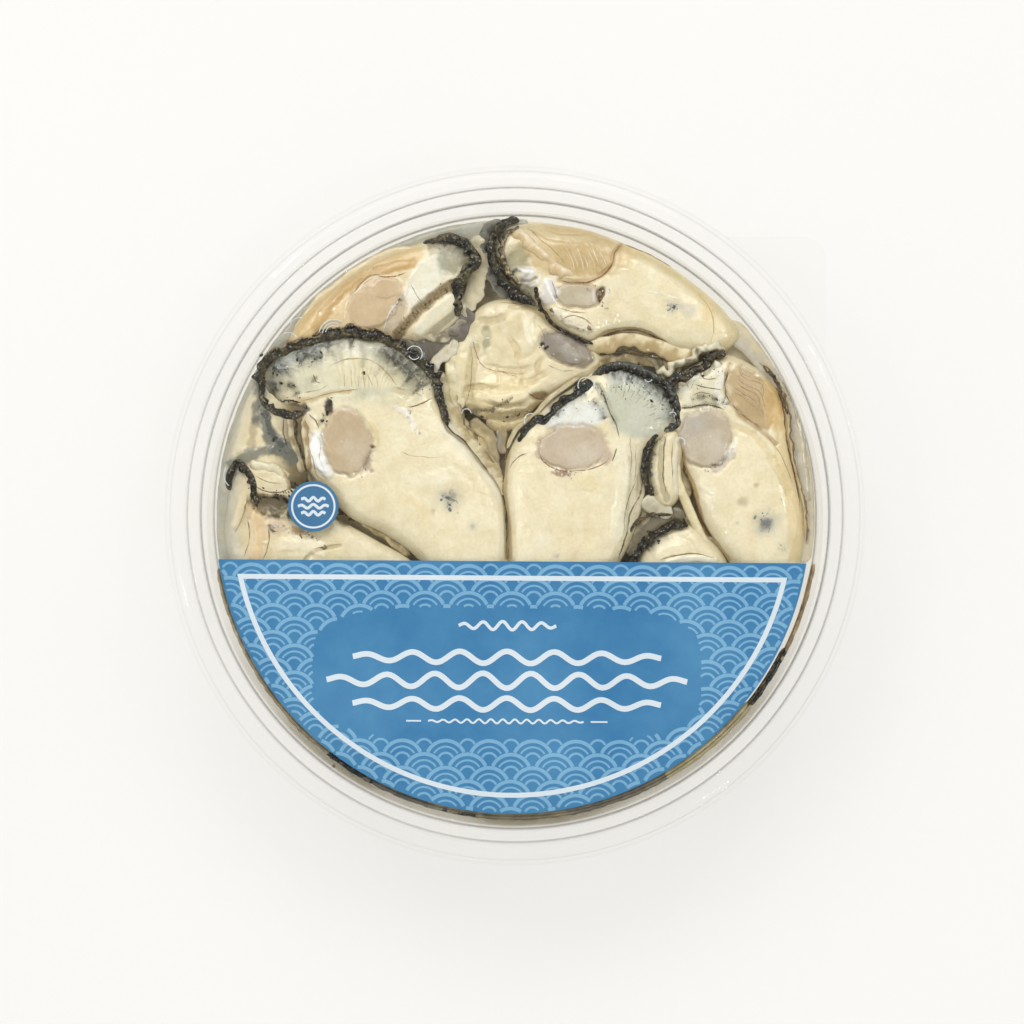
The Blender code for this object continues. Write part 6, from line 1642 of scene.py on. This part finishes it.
def lid():
    bead = 0.28
    top = [(0.0, PANEL_Z), (PANEL_R - 0.5, PANEL_Z), (PANEL_R - 0.1, PANEL_Z - 0.1), (PANEL_R + 0.35, PANEL_Z + 0.35),
           (RIDGE_R - 1.3, HEIGHT - 1.0), (RIDGE_R - 0.75, HEIGHT - 0.1), (RIDGE_R - 0.3, HEIGHT),
           (RIDGE_R + bead, HEIGHT - 0.12), (LAND_R - 0.2, HEIGHT - 0.12), (LAND_R + 0.1, HEIGHT),
           (LAND_R + 0.6, HEIGHT - 0.3)]
    skirt = [(LAND_R + 2.3, BRIM_Z + 1.5), (BRIM_R - 1.1, BRIM_Z + 0.25), (BRIM_R - 0.3, BRIM_Z),
             (BRIM_R + 0.1, BRIM_Z - 0.25), (BRIM_R + 0.5, BRIM_Z), (LID_R - 0.2, BRIM_Z),
             (LID_R, BRIM_Z - 0.2), (LID_R, BRIM_Z - 0.8), (LID_R - 0.4, BRIM_Z - 0.8), (LID_R - 0.5, BRIM_Z - SHEET),
             (BRIM_R - 0.4, BRIM_Z - SHEET - 0.1), (BRIM_R - 1.5, BRIM_Z - 0.3)]
    inner_z = HEIGHT - SHEET
    under = [(LAND_R + 1.75, BRIM_Z + 1.3), (LAND_R + 0.3, inner_z - 0.2), (LAND_R - 0.2, inner_z - 0.05),
             (RIDGE_R + bead, inner_z - 0.12), (RIDGE_R - 0.3, inner_z - 0.5), (PANEL_R + 0.95, PANEL_Z + 0.4),
             (PANEL_R + 0.5, PANEL_Z - SHEET), (0.0, PANEL_Z - SHEET)]
    place(turned("lid_sheet", rounded(top + skirt + under, 0.3), LID_SHEET), "lid", slot="lid_sheet")
    low = math.degrees(math.acos(TAB_X / LID_R))
    high = math.degrees(math.asin(TAB_Y / LID_R))
    root = arc(0, 0, LID_R - 0.1, high, low, 24)
    corner = arc(TAB_X - TAB_CORNER, TAB_Y - TAB_CORNER, TAB_CORNER, 0, 90, 16)
    tab = np.vstack([root, corner])
    place(plate("lid_pull_tab", tab[::-1], BRIM_Z - 0.75, BRIM_Z - 0.25, LID_SHEET), slot="lid_sheet")


# Print

def turned_about(points, degrees, dx, dy):
    a = math.radians(degrees)
    points = np.asarray(points)
    return np.column_stack([dx + points[:, 0] * math.cos(a) - points[:, 1] * math.sin(a),
                            dy + points[:, 0] * math.sin(a) + points[:, 1] * math.cos(a)])


def moon(radius, top, count=160):
    """A half-moon's outline: an arc and the straight edge that closes it, about the label's middle."""
    reach = math.degrees(math.asin(top / radius))
    return arc(0, 0, radius, 180 - reach, 360 + reach, count)


def wave_scales(radius, top, wave_r, blank):
    """Rows of overlapping wave scales, each of three arcs, cut to the half-moon and round a blank."""
    lines = []
    rows = int(130 / wave_r)
    blank_x, blank_y, half_x, half_y = blank
    for row in range(-2, rows):
        cy = top + wave_r * 0.1 - row * wave_r * 0.62
        for column in range(-16, 17):
            cx = (column + 0.5 * (row % 2)) * 2 * wave_r
            for share, weight in ((0.92, 0.78), (0.64, 0.42), (0.36, 0.5)):
                line = arc(cx, cy, wave_r * share, 4, 176, 26)
                hidden = np.zeros(len(line), dtype=bool)
                for ahead in (1, 2, 3):
                    front_y = cy - ahead * wave_r * 0.62
                    shift = 0.5 * ((row + ahead) % 2)
                    front_x = (np.round(line[:, 0] / (2 * wave_r) - shift) + shift) * 2 * wave_r
                    hidden |= np.hypot(line[:, 0] - front_x, line[:, 1] - front_y) < wave_r * 0.99
                far = ((line[:, 0] - blank_x) / half_x) ** 4 + ((line[:, 1] - blank_y) / half_y) ** 4
                inside = (np.hypot(line[:, 0], line[:, 1]) < radius - 0.4) & (line[:, 1] < top - 0.3)
                keep = inside & ~hidden & (far > 1)
                run = []
                for point, good in zip(line, keep):
                    if good:
                        run.append(point)
                    elif run:
                        if len(run) > 3:
                            lines.append((np.array(run), weight, False))
                        run = []
                if len(run) > 3:
                    lines.append((np.array(run), weight, False))
    return lines


def ripple(x0, x1, y, height, waves, width, count=120):
    """One line of rolling water, thinner to its ends."""
    x = np.linspace(x0, x1, count)
    t = (x - x0) / (x1 - x0)
    swell = np.sin(FULL_TURN * waves * t) * height * np.sin(math.pi * t) ** 0.4
    return np.column_stack([x, y + swell]), width, False


def label():
    top = LABEL_TOP - LABEL_Y

    def set_down(lines):
        return [(turned_about(path, LABEL_TURN, LABEL_X, LABEL_Y), width, closed) for path, width, closed in lines]

    outline = turned_about(moon(LABEL_R, top), LABEL_TURN, LABEL_X, LABEL_Y)
    place(plate("label_film", outline, PRINT_Z, PRINT_FACE, BLUE), "label", slot="label_film")
    scales = wave_scales(LABEL_R, top, 4.65, (-1.0, -33.6, 41.5, 14.2))
    place(strips("label_scales", set_down(scales), PRINT_FACE, PRINT_FACE + INK, LIGHT_BLUE), slot="label_film")
    frame_r = 59.7
    frame_top = top - 3.6
    closing = moon(frame_r, frame_top, 180)
    edge = np.column_stack([np.linspace(closing[-1, 0], closing[0, 0], 60), np.full(60, frame_top)])[1:-1]
    lines = [(np.vstack([closing, edge]), 1.05, True)]
    middle = -1.0
    for y, half, height, waves in ((-30.2, 33.0, 1.3, 6.5), (-35.2, 38.6, 1.6, 7.5), (-40.2, 33.0, 1.3, 6.5)):
        lines.append(ripple(middle - half, middle + half, y, height, waves, 1.2))
    lines.append((np.column_stack([np.linspace(-22.5, -19.3, 8), np.full(8, -43.9)]), 0.35, False))
    lines.append((np.column_stack([np.linspace(17.0, 20.6, 8), np.full(8, -43.9)]), 0.35, False))
    lines.append(ripple(-17.8, 15.5, -43.9, 0.45, 13, 0.42))
    lines.append(ripple(-11.4, 9.5, -23.4, 0.9, 5, 0.7))
    place(strips("label_lines", set_down(lines), PRINT_FACE, PRINT_FACE + 1.6 * INK, WHITE_INK), slot="label_film")


def badge():
    x, y = BADGE_AT
    place(plate("badge_disc", arc(x, y, BADGE_R, 0, 360, 97)[:-1], PRINT_Z, PRINT_FACE, BADGE_BLUE), "badge",
          slot="label_film")
    lines = [(arc(x, y, BADGE_R - 0.85, 0, 360, 97)[:-1], 0.42, True)]
    for row, half in ((1.5, 2.6), (0.0, 3.3), (-1.5, 2.6)):
        lines.append(ripple(x - half, x + half, y + row, 0.42, 2.5, 0.62, 60))
    place(strips("badge_lines", lines, PRINT_FACE, PRINT_FACE + INK, WHITE_INK), slot="label_film")


# Studio

def area_light(name, place_at, aim, size, power, colour=(1, 1, 1)):
    data = bpy.data.lights.new(name, "AREA")
    data.shape = "RECTANGLE"
    data.size, data.size_y = size
    data.energy = power
    data.color = colour
    made = bpy.data.objects.new(name, data)
    bpy.context.scene.collection.objects.link(made)
    made.location = place_at
    way = np.array(aim) - np.array(place_at)
    made.rotation_euler = Vector(way.tolist()).to_track_quat("-Z", "Y").to_euler()
    return made


def studio():
    floor_mat, tree = new_material("pale_floor")
    tone = ramp(tree, cloud(tree, 3.0, 2.0), [(0.3, linear((145, 143, 140))), (0.7, linear((149, 147, 144)))])
    face = add(tree, "BsdfPrincipled", {"Base Color": tone, "Emission Color": (1.0, 0.99, 0.965, 1.0),
                                        "Emission Strength": 0.65, "Roughness": 0.8})
    finish_shader(tree, face.outputs[0])
    floor_mesh = bpy.data.meshes.new("studio_floor")
    reach = 3.0
    floor_mesh.from_pydata([(-reach, -reach, 0), (reach, -reach, 0), (reach, reach, 0), (-reach, reach, 0)], [],
                           [(0, 1, 2, 3)])
    floor_mesh.materials.append(floor_mat)
    floor = bpy.data.objects.new("studio_floor", floor_mesh)
    floor.location.z = -0.0002
    bpy.context.scene.collection.objects.link(floor)

    world = bpy.data.worlds.new("studio")
    bpy.context.scene.world = world
    world.use_nodes = True
    tree = world.node_tree
    back = tree.nodes["Background"]
    split = add(tree, "SeparateXYZ", {0: add(tree, "TexCoord").outputs["Generated"]})
    sky = ramp(tree, split.outputs[2], [(0.0, (0.75, 0.75, 0.74)), (0.5, grey(0.9)), (0.8, grey(1.2)),
                                        (0.91, grey(1.1)), (0.955, grey(0.22)), (1.0, grey(0.16))])
    tree.links.new(sky, back.inputs["Color"])
    back.inputs["Strength"].default_value = 0.53
    area_light("softbox_back", (-0.15, 0.80, 0.85), (0, 0, 0.03), (1.1, 0.6), 5.6)
    area_light("softbox_left", (-0.95, 0.10, 0.80), (0, 0, 0.03), (0.6, 0.9), 1.6)
    area_light("softbox_right", (0.95, 0.10, 0.80), (0, 0, 0.03), (0.6, 0.9), 1.2)
    for index, (x, y) in enumerate(((-0.5, 0.6), (0.6, 0.35), (0.1, 0.75), (-0.7, -0.1), (0.35, -0.45))):
        area_light(f"spark_{index}", (x, y, 0.9), (0, 0, 0.03), (0.08, 0.08), 0.74)

    distance = 2.4
    elevation = math.radians(87.0)
    offset = (-3.0 * PIXEL * MM, 2.3 * PIXEL * MM)
    aim = Vector((offset[0], offset[1], HEIGHT * MM))
    camera_data = bpy.data.cameras.new("camera")
    camera_data.sensor_width = 36.0
    camera_data.lens = 36.0 * distance / (1024 * PIXEL * MM)
    camera = bpy.data.objects.new("camera", camera_data)
    bpy.context.scene.collection.objects.link(camera)
    camera.location = aim + Vector((0, -math.cos(elevation), math.sin(elevation))) * distance
    camera.rotation_euler = (aim - camera.location).to_track_quat("-Z", "Y").to_euler()
    bpy.context.scene.camera = camera
    bpy.context.scene.view_settings.view_transform = "Standard"
    bpy.context.scene.cycles.transparent_max_bounces = 40


left_oyster()
middle_oyster()
right_oyster()
top_right_oyster()
top_left_oyster()
back_oyster()
gap_folds()
low_left_oyster()
low_middle_oyster()
under_oysters()
wall_oysters()
floor_oysters()
heap_core()
liquor()
bubbles()
tub()
lid()
label()
badge()
studio()
